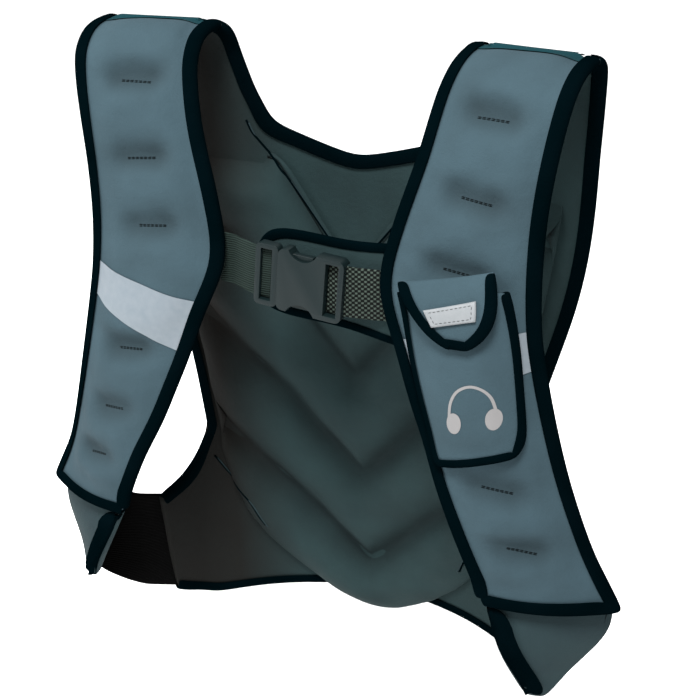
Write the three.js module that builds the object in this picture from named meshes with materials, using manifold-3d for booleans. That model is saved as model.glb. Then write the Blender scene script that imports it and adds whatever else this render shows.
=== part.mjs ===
// Weighted vest, held up as it is worn. Millimetres, +Z up, the chest faces -Y, the wearer's left is +X.
// The origin is where it sits: between the shoulders, level with the inner top of the shoulder arches.
import * as THREE from 'three';
import { mergeVertices } from 'three/addons/utils/BufferGeometryUtils.js';
import Module from 'manifold-3d';

const wasm = await Module();
wasm.setup();

// Overall sizes
const shoulderHalfSpan = 188; // middle to the armhole edge, at the shoulder seam
const neckHalfSpan = 98; // middle to the neck edge, at the shoulder seam
const seamSlant = 8; // how far the shoulder seam runs back at the neck and forward at the armhole
const hemHalfSpan = 250; // middle to the lateral corner of a strap's hem
const strapDrop = 378; // shoulder seam to the strap's hem
const chestDepth = 85; // shoulder seam forward to the medial corner of a strap's hem
const backDrop = 507; // shoulder seam to the hem of the back, on the centre line
const backDepth = 78; // shoulder seam back to the hem of the back, on the centre line
const hemLean = 8; // how much lower the right end of the back hem hangs, and how much higher the left

// Cloth
const clothThickness = 4;
const strapLoft = 15;
const padLoft = 17;
const padSeamLoft = 4;
const bindingWidth = 9;
const bindingWall = 1.2;
const bindingEnd = 0.8; // left open between two bindings at the shoulder seam
const trimBindingWidth = 6;
const trimBindingWall = 0.9;
const trimClearance = 0.6;
const tapeWall = 0.8;
const rimMargin = 2; // flat cloth left beside a binding's lip
const clearance = 0.35;
const coarseClearance = 1.3; // between the back's coarse facets and its bindings
const layerClearance = 1.1; // between coarse facets of two layers that lie on each other

// Quilting tacks of the straps
const tackCount = 7;
const tackPitch = 53;
const firstTack = 57; // from the hem, along the strap
const tackLoft = 8;

// Shoulder tape and reflective bands
const shoulderTapeWidth = 12;
const bandStart = 181; // from the hem, along the strap
const bandWidth = 33;

// Sternum strap
const webbingWidth = 38;
const webbingThickness = 2;
const sternumDrop = 160; // seam to the middle of the buckle
const sternumShift = 3; // of the buckle towards the wearer's left
const sternumDepth = 66; // forward of the seam
const sternumLean = 4.5; // degrees, the wearer's left end lower
const buckleHeight = 47;
const buckleThickness = 11;
const plugBaseLength = 18;
const socketLength = 37;
const frameLength = 14;
const sternumPadHeight = 66;
const sternumPadReach = 44; // middle to the rounded end
const sternumPadTail = 74; // middle to the end behind the left strap
const sternumPadThickness = 6;

// Pocket on the left strap
const pocketTopX = 117;
const pocketTopDrop = 146;
const pocketWidth = 76;
const pocketHeight = 117;
const pocketLoft = 10;
const pocketEdge = 2.4;
const flapTopX = 116;
const flapTopDrop = 136;
const flapWidth = 58;
const flapHeight = 50;
const flapThickness = 2.4;
const flapStandOff = 17.2; // off the strap at the tip, over the filled pocket

// Side closures
const tabDrop = 90; // hem to the tab's lowest point
const tabSwing = 8; // how much further out the wearer's right tab hangs, and how much further in the left

// Edge lines of a strap. across, fore and drop are shares of hemHalfSpan, chestDepth and strapDrop.
const strapEdges = [
  { medialAcross: 0.616, medialFore: 1, medialDrop: 1,
    lateralAcross: 0.978, lateralFore: 0.55, lateralDrop: 1.013, crown: 0.1 },
  { medialAcross: 0.562, medialFore: 1.03, medialDrop: 0.921,
    lateralAcross: 0.898, lateralFore: 0.58, lateralDrop: 0.916, crown: 0.11 },
  { medialAcross: 0.508, medialFore: 1.03, medialDrop: 0.84,
    lateralAcross: 0.844, lateralFore: 0.635, lateralDrop: 0.822, crown: 0.12 },
  { medialAcross: 0.452, medialFore: 0.965, medialDrop: 0.764,
    lateralAcross: 0.798, lateralFore: 0.69, lateralDrop: 0.724, crown: 0.12 },
  { medialAcross: 0.404, medialFore: 0.905, medialDrop: 0.682,
    lateralAcross: 0.756, lateralFore: 0.72, lateralDrop: 0.619, crown: 0.11 },
  { medialAcross: 0.36, medialFore: 0.88, medialDrop: 0.612,
    lateralAcross: 0.72, lateralFore: 0.73, lateralDrop: 0.517, crown: 0.1 },
  { medialAcross: 0.308, medialFore: 0.835, medialDrop: 0.514,
    lateralAcross: 0.7, lateralFore: 0.73, lateralDrop: 0.441, crown: 0.09 },
  { medialAcross: 0.246, medialFore: 0.755, medialDrop: 0.404,
    lateralAcross: 0.692, lateralFore: 0.72, lateralDrop: 0.346, crown: 0.07 },
  { medialAcross: 0.282, medialFore: 0.68, medialDrop: 0.281,
    lateralAcross: 0.696, lateralFore: 0.72, lateralDrop: 0.244, crown: 0.06 },
  { medialAcross: 0.332, medialFore: 0.61, medialDrop: 0.171,
    lateralAcross: 0.712, lateralFore: 0.705, lateralDrop: 0.147, crown: 0.05 },
  { medialAcross: 0.364, medialFore: 0.505, medialDrop: 0.071,
    lateralAcross: 0.732, lateralFore: 0.635, lateralDrop: 0.058, crown: 0.04 },
  { medialAcross: 0.38, medialFore: 0.33, medialDrop: 0.021,
    lateralAcross: 0.742, lateralFore: 0.47, lateralDrop: 0.016, crown: 0.03 },
  { medialAcross: 0.388, medialFore: 0.12, medialDrop: 0.003,
    lateralAcross: 0.748, lateralFore: 0.28, lateralDrop: 0.003, crown: 0.03 },
];

// Shoulder arms of the back. Shares of neckHalfSpan or shoulderHalfSpan, backDepth and backDrop.
const armEdges = [
  { neckAcross: 0.948, neckBack: 0.2, neckDrop: 0.012, armAcross: 1.012, armBack: 0.03, armDrop: 0.008 },
  { neckAcross: 0.938, neckBack: 0.32, neckDrop: 0.047, armAcross: 1.005, armBack: 0.14, armDrop: 0.04 },
  { neckAcross: 0.854, neckBack: 0.385, neckDrop: 0.102, armAcross: 0.995, armBack: 0.24, armDrop: 0.09 },
];

// Body of the back, from the neckline down. Shares of shoulderHalfSpan, backDepth and backDrop.
const bodyRows = [
  { middleDrop: 0.19, middleBack: 0.45, neckDrop: 0.152, armAcross: 0.984, armBack: 0.32, armDrop: 0.147 },
  { middleDrop: 0.264, middleBack: 0.43, neckDrop: 0.238, armAcross: 0.98, armBack: 0.37, armDrop: 0.219 },
  { middleDrop: 0.342, middleBack: 0.42, neckDrop: 0.325, armAcross: 0.965, armBack: 0.42, armDrop: 0.297 },
  { middleDrop: 0.42, middleBack: 0.43, neckDrop: 0.41, armAcross: 0.927, armBack: 0.45, armDrop: 0.381 },
  { middleDrop: 0.498, middleBack: 0.47, neckDrop: 0.492, armAcross: 0.869, armBack: 0.45, armDrop: 0.461 },
  { middleDrop: 0.576, middleBack: 0.54, neckDrop: 0.575, armAcross: 0.796, armBack: 0.43, armDrop: 0.566 },
  { middleDrop: 0.654, middleBack: 0.63, neckDrop: 0.655, armAcross: 0.764, armBack: 0.43, armDrop: 0.645 },
  { middleDrop: 0.707, middleBack: 0.69, neckDrop: 0.71, armAcross: 0.749, armBack: 0.45, armDrop: 0.701 },
  { middleDrop: 0.771, middleBack: 0.78, neckDrop: 0.775, armAcross: 0.747, armBack: 0.46, armDrop: 0.77 },
  { middleDrop: 0.84, middleBack: 0.86, neckDrop: 0.845, armAcross: 0.747, armBack: 0.46, armDrop: 0.84 },
  { middleDrop: 0.908, middleBack: 0.94, neckDrop: 0.912, armAcross: 0.747, armBack: 0.46, armDrop: 0.91 },
  { middleDrop: 1.0, middleBack: 1.0, neckDrop: 1.01, armAcross: 0.749, armBack: 0.46, armDrop: 1.018 },
];
const wingRow = 7; // the body row where the side wings leave the armhole edge

// Side wing, from the armhole corner forward to the elastic. Same shares; the hem columns are its lower edge.
const wingColumns = [
  { topAcross: 0.785, topBack: 0.33, topDrop: 0.752, hemAcross: 0.79, hemBack: 0.36, hemDrop: 1.01 },
  { topAcross: 0.817, topBack: 0.08, topDrop: 0.78, hemAcross: 0.822, hemBack: 0.23, hemDrop: 1.0 },
  { topAcross: 0.838, topBack: -0.11, topDrop: 0.786, hemAcross: 0.845, hemBack: 0.1, hemDrop: 0.99 },
  { topAcross: 0.849, topBack: -0.25, topDrop: 0.792, hemAcross: 0.859, hemBack: 0.0, hemDrop: 0.98 },
];

// Chevron seams of the weight pad, each from its point on the centre line out to its end at the side.
const chevrons = [
  { point: 0.36, kneeAcross: 0.33, kneeDrop: 0.19, endAcross: 0.87, endDrop: 0.2, belly: 0 },
  { point: 0.55, kneeAcross: 0.34, kneeDrop: 0.4, endAcross: 0.86, endDrop: 0.265, belly: 0 },
  { point: 0.754, kneeAcross: 0.34, kneeDrop: 0.595, endAcross: 0.79, endDrop: 0.45, belly: 0 },
  { point: 0.94, kneeAcross: 0.36, kneeDrop: 0.795, endAcross: 0.69, endDrop: 0.67, belly: 0 },
  { point: 1.04, kneeAcross: 0.34, kneeDrop: 0.98, endAcross: 0.69, endDrop: 0.735, belly: 1 },
];
const rowsPerChevron = 3;

// Side tab, from behind the strap's hem to its lowest point.
// Shares of hemHalfSpan, chestDepth and, below the hem, tabDrop.
const tabRows = [
  { medialAcross: 0.612, medialFore: 0.88, medialBelow: -0.12,
    lateralAcross: 0.92, lateralFore: 0.43, lateralBelow: -0.1 },
  { medialAcross: 0.634, medialFore: 0.95, medialBelow: 0.12,
    lateralAcross: 0.955, lateralFore: 0.43, lateralBelow: 0.12 },
  { medialAcross: 0.66, medialFore: 0.98, medialBelow: 0.33,
    lateralAcross: 0.955, lateralFore: 0.45, lateralBelow: 0.33 },
  { medialAcross: 0.694, medialFore: 0.94, medialBelow: 0.54,
    lateralAcross: 0.915, lateralFore: 0.49, lateralBelow: 0.54 },
  { medialAcross: 0.732, medialFore: 0.86, medialBelow: 0.75,
    lateralAcross: 0.86, lateralFore: 0.56, lateralBelow: 0.76 },
  { medialAcross: 0.762, medialFore: 0.76, medialBelow: 0.94,
    lateralAcross: 0.822, lateralFore: 0.68, lateralBelow: 0.98 },
];

// Pocket, from its mouth down. across and down are shares of pocketWidth and pocketHeight off its top middle.
const pocketRows = [
  { leftAcross: -0.49, leftDown: 0.05, rightAcross: 0.5, rightDown: -0.05, loft: 0 },
  { leftAcross: -0.45, leftDown: 0.11, rightAcross: 0.53, rightDown: 0.01, loft: 0.35 },
  { leftAcross: -0.4, leftDown: 0.22, rightAcross: 0.57, rightDown: 0.12, loft: 0.85 },
  { leftAcross: -0.34, leftDown: 0.4, rightAcross: 0.62, rightDown: 0.28, loft: 1 },
  { leftAcross: -0.26, leftDown: 0.58, rightAcross: 0.66, rightDown: 0.46, loft: 1 },
  { leftAcross: -0.175, leftDown: 0.76, rightAcross: 0.7, rightDown: 0.63, loft: 1 },
  { leftAcross: -0.11, leftDown: 0.89, rightAcross: 0.73, rightDown: 0.76, loft: 0.85 },
  { leftAcross: -0.075, leftDown: 1.0, rightAcross: 0.74, rightDown: 0.845, loft: 0 },
  { leftAcross: -0.02, leftDown: 1.08, rightAcross: 0.68, rightDown: 0.93, loft: 0 },
];
const pocketShares = [0, 0.1, 0.27, 0.5, 0.73, 0.9, 1];
const pocketPuff = [0, 0, 0.85, 1, 0.85, 0, 0];

// Flap, from its seam down to the tip. Shares of flapWidth and flapHeight, and how far it stands off the strap
// as a share of flapStandOff.
const flapRows = [
  { leftAcross: -0.5, leftDown: 0.17, rightAcross: 0.5, rightDown: -0.17, standOff: 0.27 },
  { leftAcross: -0.414, leftDown: 0.27, rightAcross: 0.5, rightDown: 0.07, standOff: 0.62 },
  { leftAcross: -0.293, leftDown: 0.43, rightAcross: 0.483, rightDown: 0.31, standOff: 0.86 },
  { leftAcross: -0.172, leftDown: 0.61, rightAcross: 0.448, rightDown: 0.55, standOff: 0.965 },
  { leftAcross: -0.034, leftDown: 0.79, rightAcross: 0.379, rightDown: 0.75, standOff: 0.99 },
  { leftAcross: 0.086, leftDown: 0.87, rightAcross: 0.293, rightDown: 0.86, standOff: 1 },
];
const flapColumns = 6;
// Ends of the reflective patch on the flap, as rows of the flap.
const patch = { topLeft: 2.05, topRight: 1.4, bottomLeft: 3.05, bottomRight: 2.5, inset: 1 };

const colours = {
  neoprene: { color: 0x506c78, roughness: 0.85, metalness: 0 },
  lining: { color: 0x2c4044, roughness: 0.9, metalness: 0 },
  binding: { color: 0x06282d, roughness: 0.8, metalness: 0 },
  tape: { color: 0x1a5560, roughness: 0.75, metalness: 0 },
  elastic: { color: 0x0a0e10, roughness: 0.9, metalness: 0 },
  webbing: { color: 0x55625c, roughness: 0.8, metalness: 0 },
  plastic: { color: 0x3a4a4a, roughness: 0.45, metalness: 0 },
  reflector: { color: 0xaab2b6, roughness: 0.4, metalness: 0 },
};

const vest = new THREE.Group();
vest.name = 'weighted_vest';
const seamHeight = clothThickness / 2;
const rim = bindingWidth + rimMargin;
const sides = [
  { name: 'right', sign: -1 },
  { name: 'left', sign: 1 },
];

const vec = (x, y, z) => new THREE.Vector3(x, y, z);
const mirrored = (point, sign) => vec(point.x * sign, point.y, point.z);
const lerp = (a, b, t) => a + (b - a) * t;
const radians = THREE.MathUtils.degToRad;

// Smooth value of a column of a table at a fractional row.
function columnAt(table, column, row) {
  const last = table.length - 1;
  const index = Math.min(Math.max(Math.floor(row), 0), last - 1);
  const t = row - index;
  const value = (k) => {
    if (k < 0) return 2 * table[0][column] - table[1][column];
    if (k > last) return 2 * table[last][column] - table[last - 1][column];
    return table[k][column];
  };
  const [a, b, c, d] = [value(index - 1), value(index), value(index + 1), value(index + 2)];
  return b + 0.5 * t * (c - a + t * (2 * a - 5 * b + 4 * c - d + t * (3 * (b - c) + d - a)));
}

// A closed shell from a grid of nodes: an outer and an inner sheet, joined by a rim round the cells present.
// turned says in which cells the other diagonal is the crease.
function shellGeometry(rows, columns, nodeAt, cellAt = () => true, turned = () => false) {
  const positions = [];
  const index = [];
  const ids = new Map();
  const idOf = (i, j, side) => {
    const key = `${i},${j},${side}`;
    if (!ids.has(key)) {
      ids.set(key, positions.length / 3);
      const node = nodeAt(i, j);
      positions.push(...node[side].toArray());
    }
    return ids.get(key);
  };
  const quad = (a, b, c, d) => index.push(a, b, c, a, c, d);
  const present = (i, j) => i >= 0 && j >= 0 && i < rows - 1 && j < columns - 1 && cellAt(i, j);
  for (let i = 0; i < rows - 1; i++) {
    for (let j = 0; j < columns - 1; j++) {
      if (!present(i, j)) continue;
      const loop = [[i, j], [i, j + 1], [i + 1, j + 1], [i + 1, j]];
      const neighbours = [[i - 1, j], [i, j + 1], [i + 1, j], [i, j - 1]];
      if (turned(i, j)) {
        loop.push(loop.shift());
        neighbours.push(neighbours.shift());
      }
      const outer = loop.map(([r, c]) => idOf(r, c, 'outer'));
      const inner = loop.map(([r, c]) => idOf(r, c, 'inner'));
      quad(...outer);
      quad(inner[0], inner[3], inner[2], inner[1]);
      neighbours.forEach(([r, c], side) => {
        if (present(r, c)) return;
        const next = (side + 1) % 4;
        if (turned(i, j)) quad(inner[next], outer[next], outer[side], inner[side]);
        else quad(outer[next], outer[side], inner[side], inner[next]);
      });
    }
  }
  return facingOut(positions, index);
}

// Turns the faces of a closed mesh outwards.
function facingOut(positions, index) {
  let volume = 0;
  const at = (k) => vec(positions[3 * k], positions[3 * k + 1], positions[3 * k + 2]);
  for (let k = 0; k < index.length; k += 3) {
    volume += at(index[k]).dot(at(index[k + 1]).cross(at(index[k + 2])));
  }
  if (volume < 0) {
    for (let k = 0; k < index.length; k += 3) [index[k + 1], index[k + 2]] = [index[k + 2], index[k + 1]];
  }
  const geometry = new THREE.BufferGeometry();
  geometry.setAttribute('position', new THREE.Float32BufferAttribute(positions, 3));
  geometry.setIndex(index);
  return geometry;
}

function addPiece(name, geometry, colour, parent = vest) {
  const mesh = new THREE.Mesh(geometry, new THREE.MeshStandardMaterial(colours[colour]));
  mesh.name = name;
  parent.add(mesh);
  return mesh;
}

// A sheet: middle points on a grid, a normal at each, and half its thickness there.
// outward says which way the outer side looks. more may hold cellAt, the cells that exist; beyond, the points
// past the ends, where a next sheet carries on; and turned, the cells with the other crease.
function makeSheet(rows, columns, middleAt, halfAt, outward, more = {}) {
  const { cellAt = () => true, beyond = () => null, turned = () => false } = more;
  const nodes = [];
  const used = (i, j) => [[i, j], [i - 1, j], [i, j - 1], [i - 1, j - 1]].some(
    ([r, c]) => r >= 0 && c >= 0 && r < rows - 1 && c < columns - 1 && cellAt(r, c));
  const point = (i, j) => {
    if (i < 0 || i >= rows) return beyond(i, j);
    return j >= 0 && j < columns && used(i, j) ? middleAt(i, j) : null;
  };
  for (let i = 0; i < rows; i++) {
    nodes.push([]);
    for (let j = 0; j < columns; j++) {
      const middle = point(i, j);
      if (!middle) {
        nodes[i].push(null);
        continue;
      }
      const alongRow = (point(i, j + 1) ?? middle).clone().sub(point(i, j - 1) ?? middle);
      const alongColumn = (point(i + 1, j) ?? middle).clone().sub(point(i - 1, j) ?? middle);
      const normal = alongRow.cross(alongColumn).normalize();
      if (normal.dot(outward(middle)) < 0) normal.negate();
      const half = halfAt(i, j);
      nodes[i].push({
        middle,
        normal,
        half,
        outer: middle.clone().addScaledVector(normal, half),
        inner: middle.clone().addScaledVector(normal, -half),
      });
    }
  }
  const geometry = () => shellGeometry(rows, columns, (i, j) => nodes[i][j], cellAt, turned);
  return { rows, columns, nodes, geometry };
}

// A place on a sheet's 'middle' or 'outer' surface at a fractional row and column.
function placeOn(sheet, row, column, surface = 'outer') {
  const i = Math.min(Math.max(Math.floor(row), 0), sheet.rows - 2);
  const j = Math.min(Math.max(Math.floor(column), 0), sheet.columns - 2);
  const mix = (key) => {
    const near = sheet.nodes[i][j][key].clone().lerp(sheet.nodes[i][j + 1][key], column - j);
    const far = sheet.nodes[i + 1][j][key].clone().lerp(sheet.nodes[i + 1][j + 1][key], column - j);
    return near.lerp(far, row - i);
  };
  return { at: mix(surface), normal: mix('normal').normalize() };
}

// The node of a sheet at a whole or fractional row.
function nodeAlong(sheet, row, column) {
  const low = Math.floor(row);
  const near = sheet.nodes[low][column];
  if (row === low) return near;
  const far = sheet.nodes[low + 1][column];
  return {
    middle: near.middle.clone().lerp(far.middle, row - low),
    normal: near.normal.clone().lerp(far.normal, row - low).normalize(),
    half: lerp(near.half, far.half, row - low),
  };
}

// Frames along a run on a sheet's edge: each entry is [row, column, inward row step, inward column step].
// A frame has the edge itself, and the line at a width inside the edge where a lip ends.
function edgeFrames(sheet, run, width) {
  const nodes = run.map(([i, j]) => nodeAlong(sheet, i, j));
  const legsAt = nodes.map(({ middle }, k) => [nodes[k - 1], nodes[k + 1]]
    .map((other, end) => other && (end ? other.middle.clone().sub(middle) : middle.clone().sub(other.middle)))
    .filter((leg) => leg)
    .map((leg) => leg.normalize()));
  const inwardAt = run.map(([i, j, di, dj], k) => (
    nodeAlong(sheet, i + di, j + dj).middle.clone().sub(nodes[k].middle).normalize()));
  // The sheet lies on one and the same side of the whole run.
  const sideOf = (leg, k) => leg.clone().cross(nodes[k].normal).normalize();
  const turn = Math.sign(legsAt.flatMap((legs, k) => legs.map((leg) => sideOf(leg, k).dot(inwardAt[k])))
    .reduce((sum, dot) => sum + dot, 0));
  return run.map(([i, j, di, dj], k) => {
    const { middle, normal, half } = nodes[k];
    const outs = legsAt[k].map((leg) => sideOf(leg, k).multiplyScalar(-turn));
    const out = outs.reduce((sum, o) => sum.add(o), vec(0, 0, 0)).normalize();
    const mitre = Math.min(1 / Math.max(out.dot(outs[0]), 0.5), 1.5);
    const corner = di !== 0 && dj !== 0;
    const direction = inwardAt[k];
    const legs = legsAt[k];
    const across = (leg) => leg.clone().cross(direction).length();
    const slant = corner ? 1 : Math.max(...legs.map((leg) => 1 / Math.max(across(leg), 0.6)));
    const shareOf = (node) => (width * slant) / node.middle.distanceTo(middle);
    const byRow = di ? di * shareOf(nodeAlong(sheet, i + di, j)) : 0;
    const byColumn = dj ? dj * shareOf(nodeAlong(sheet, i, j + dj)) : 0;
    const lip = placeOn(sheet, i + byRow, j + byColumn, 'middle');
    return { at: middle, normal, half, out, mitre, lipAt: lip.at, lipNormal: lip.normal };
  });
}

// A channel folded over an edge: an outer and an inner line of four points at every frame.
function channelGeometry(frames, wall, gap = clearance) {
  const nodeAt = (i, j) => {
    const { at, out, normal, half, mitre, lipAt, lipNormal } = frames[i];
    const side = j < 2 ? 1 : -1;
    const low = side * (half + gap);
    const high = side * (half + gap + wall);
    if (j === 0 || j === 3) {
      return {
        outer: lipAt.clone().addScaledVector(lipNormal, high),
        inner: lipAt.clone().addScaledVector(lipNormal, low),
      };
    }
    const fold = at.clone().addScaledVector(out, Math.max(clearance, gap / 2) * mitre);
    return {
      outer: fold.clone().addScaledVector(out, wall * mitre).addScaledVector(normal, high),
      inner: fold.clone().addScaledVector(normal, low),
    };
  };
  return shellGeometry(frames.length, 4, nodeAt);
}

// Moves the first or last frame along its run by a distance.
function trimmed(frames, fromStart, fromEnd) {
  const cut = (list, distance) => {
    if (!distance) return list;
    const rest = list.slice();
    let left = distance;
    while (rest.length > 2 && rest[0].at.distanceTo(rest[1].at) <= left) {
      left -= rest[0].at.distanceTo(rest[1].at);
      rest.shift();
    }
    const t = left / rest[0].at.distanceTo(rest[1].at);
    const [a, b] = rest;
    const mix = (key) => a[key].clone().lerp(b[key], t);
    rest[0] = {
      at: mix('at'),
      normal: mix('normal').normalize(),
      out: mix('out').normalize(),
      lipAt: mix('lipAt'),
      lipNormal: mix('lipNormal').normalize(),
      half: lerp(a.half, b.half, t),
      mitre: 1,
    };
    return rest;
  };
  return cut(cut(frames, fromStart).reverse(), fromEnd).reverse();
}

// The fractional row and column of a sheet's outer surface at a place across and a height.
function locate(sheet, x, z, row, column) {
  const step = 0.01;
  for (let turn = 0; turn < 30; turn++) {
    const here = placeOn(sheet, row, column).at;
    const byRow = placeOn(sheet, row + step, column).at.sub(here).divideScalar(step);
    const byColumn = placeOn(sheet, row, column + step).at.sub(here).divideScalar(step);
    const [dx, dz] = [x - here.x, z - here.z];
    const det = byRow.x * byColumn.z - byRow.z * byColumn.x;
    row += THREE.MathUtils.clamp((dx * byColumn.z - dz * byColumn.x) / det, -1, 1);
    column += THREE.MathUtils.clamp((byRow.x * dz - byRow.z * dx) / det, -1, 1);
    row = THREE.MathUtils.clamp(row, 0, sheet.rows - 1.001);
    column = THREE.MathUtils.clamp(column, 0, sheet.columns - 1.001);
  }
  return placeOn(sheet, row, column);
}

// Straps

const seamMedial = vec(neckHalfSpan, seamSlant, seamHeight);
const seamLateral = vec(shoulderHalfSpan, -seamSlant, seamHeight);

const strapTable = strapEdges.map((row) => ({
  mx: row.medialAcross * hemHalfSpan,
  my: -row.medialFore * chestDepth,
  mz: seamHeight - row.medialDrop * strapDrop,
  lx: row.lateralAcross * hemHalfSpan,
  ly: -row.lateralFore * chestDepth,
  lz: seamHeight - row.lateralDrop * strapDrop,
  crown: row.crown * chestDepth,
}));
strapTable.push({
  mx: seamMedial.x, my: seamMedial.y, mz: seamMedial.z,
  lx: seamLateral.x, ly: seamLateral.y, lz: seamLateral.z,
  crown: 0,
});

const strapPoint = (row, share) => {
  const [mx, my, mz, lx, ly, lz, crown] = ['mx', 'my', 'mz', 'lx', 'ly', 'lz', 'crown'].map(
    (column) => columnAt(strapTable, column, row));
  const bulge = crown * Math.sin(Math.PI * share);
  return vec(lerp(mx, lx, share), lerp(my, ly, share) - bulge, lerp(mz, lz, share));
};

// The shoulder arms of the back carry on from the seam.
const armTable = [
  {
    nx: seamMedial.x, ny: seamMedial.y, nz: seamMedial.z,
    ax: seamLateral.x, ay: seamLateral.y, az: seamLateral.z,
  },
  ...armEdges.map((row) => ({
    nx: row.neckAcross * neckHalfSpan,
    ny: row.neckBack * backDepth,
    nz: seamHeight - row.neckDrop * backDrop,
    ax: row.armAcross * shoulderHalfSpan,
    ay: row.armBack * backDepth,
    az: seamHeight - row.armDrop * backDrop,
  })),
];
const neckColumns = 4;
const armColumns = 10;
const seamStep = 0.5;
const armShareAt = (column, width) => {
  const last = armColumns - neckColumns;
  const edge = rim / width;
  const k = column - neckColumns;
  if (k <= 1) return k * edge;
  if (k >= last - 1) return 1 - (last - k) * edge;
  return lerp(edge, 1 - edge, (k - 1) / (last - 2));
};
const armPoint = (row, column) => {
  const [nx, ny, nz, ax, ay, az] = ['nx', 'ny', 'nz', 'ax', 'ay', 'az'].map(
    (key) => columnAt(armTable, key, row));
  const t = armShareAt(column, ax - nx);
  return vec(lerp(nx, ax, t), lerp(ny, ay, t), lerp(nz, az, t));
};

// Distance along the strap's middle line, and the table row at a distance.
const strapSteps = 400;
const strapRun = [0];
for (let k = 1; k <= strapSteps; k++) {
  const scale = (strapTable.length - 1) / strapSteps;
  strapRun.push(strapRun[k - 1] + strapPoint(k * scale, 0.5).distanceTo(strapPoint((k - 1) * scale, 0.5)));
}
const strapLength = strapRun[strapSteps];
const strapRowAt = (distance) => {
  const k = strapRun.findIndex((run) => run >= distance);
  if (k <= 0) return k < 0 ? strapTable.length - 1 : 0;
  const t = (distance - strapRun[k - 1]) / (strapRun[k] - strapRun[k - 1]);
  return ((k - 1 + t) * (strapTable.length - 1)) / strapSteps;
};

const bandMargin = 2.5; // a station closer than this to a band's end moves to it
const tacks = Array.from({ length: tackCount }, (_, k) => firstTack + k * tackPitch);
const strapStations = [0, rim, firstTack - tackPitch / 3];
tacks.forEach((tack, k) => {
  strapStations.push(tack);
  if (k < tackCount - 1) strapStations.push(tack + tackPitch / 3, tack + (2 * tackPitch) / 3);
});
const archStart = tacks[tackCount - 1];
const archEnd = strapLength - shoulderTapeWidth / 2;
const archSteps = 6;
for (let k = 1; k <= archSteps; k++) strapStations.push(lerp(archStart, archEnd, k / archSteps));
strapStations.push(strapLength - clearance / 2);
// The ends of the reflective band are stations too, in place of the nearest ones.
for (const end of [bandStart, bandStart + bandWidth]) {
  const apart = strapStations.map((station) => Math.abs(station - end));
  const nearest = apart.indexOf(Math.min(...apart));
  if (apart[nearest] < bandMargin) strapStations[nearest] = end;
  else strapStations.push(end);
}
strapStations.sort((a, b) => a - b);

const quiltShares = [0, 0.16, 0.33, 0.5, 0.67, 0.84, 1];
const quiltLoft = [0, 0.72, 0.95, 1, 0.95, 0.72, 0];
const strapColumns = quiltShares.length + 2;

const strapShare = (row, column) => {
  const width = strapPoint(row, 0).distanceTo(strapPoint(row, 1));
  const rimShare = rim / width;
  if (column === 0) return 0;
  if (column === strapColumns - 1) return 1;
  return lerp(rimShare, 1 - rimShare, quiltShares[column - 1]);
};

const strapHalf = (station, column) => {
  if (column === 0 || column === strapColumns - 1) return clothThickness / 2;
  const distance = strapStations[station];
  const fromEnds = Math.min(distance - rim, archEnd - distance) / (tackPitch / 3);
  const fade = Math.sin((Math.PI / 2) * Math.min(Math.max(fromEnds, 0), 1));
  let loft = lerp(clothThickness, strapLoft, quiltLoft[column - 1] * fade);
  const middle = (strapColumns - 1) / 2;
  const onTack = tacks.some((tack) => Math.abs(tack - distance) <= bandMargin);
  if (onTack && column === middle) loft = tackLoft;
  if (onTack && Math.abs(column - middle) === 1) loft = lerp(tackLoft, loft, 0.35);
  return loft / 2;
};

const archFoot = -30; // above this height the outer side looks up
const strapSheets = {};
for (const { name, sign } of sides) {
  const sheet = makeSheet(
    strapStations.length,
    strapColumns,
    (i, j) => {
      const row = strapRowAt(strapStations[i]);
      return mirrored(strapPoint(row, strapShare(row, j)), sign);
    },
    strapHalf,
    (point) => vec(0, -1, point.z > archFoot ? 1 : 0.1),
    {
      beyond: (i, j) => {
        const column = lerp(neckColumns, armColumns, strapShare(strapTable.length - 1, j));
        return i > 0 ? mirrored(armPoint(seamStep, column), sign) : null;
      },
    },
  );
  strapSheets[name] = sheet;
  addPiece(`front_panel_${name}`, sheet.geometry(), 'neoprene');

  const stations = strapStations.map((_, i) => i);
  const medialRun = stations.map((i) => [i, 0, 0, 1]);
  const lateralRun = stations.slice().reverse().map((i) => [i, strapColumns - 1, 0, -1]);
  const hemRun = Array.from({ length: strapColumns - 1 }, (_, k) => [0, strapColumns - 2 - k, 1, 0]);
  const overHem = bindingWidth + bindingWall + rimMargin;
  const medial = trimmed(edgeFrames(sheet, medialRun, bindingWidth), overHem, bindingEnd);
  addPiece(`medial_binding_${name}`, channelGeometry(medial, bindingWall), 'binding');
  lateralRun[lateralRun.length - 1] = [0, strapColumns - 1, 1, -1];
  const lateral = trimmed(edgeFrames(sheet, [...lateralRun, ...hemRun], bindingWidth), bindingEnd, 0);
  addPiece(`lateral_binding_${name}`, channelGeometry(lateral, bindingWall), 'binding');
}

// Back

const neckCorner = 0.385; // neck corner, and the column below it, as a share of the half width there
const bodyTable = bodyRows.map((row) => ({
  middleDrop: row.middleDrop * backDrop,
  middleBack: row.middleBack * backDepth,
  neckDrop: row.neckDrop * backDrop,
  armAcross: row.armAcross * shoulderHalfSpan,
  armBack: row.armBack * backDepth,
  armDrop: row.armDrop * backDrop,
}));

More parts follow.
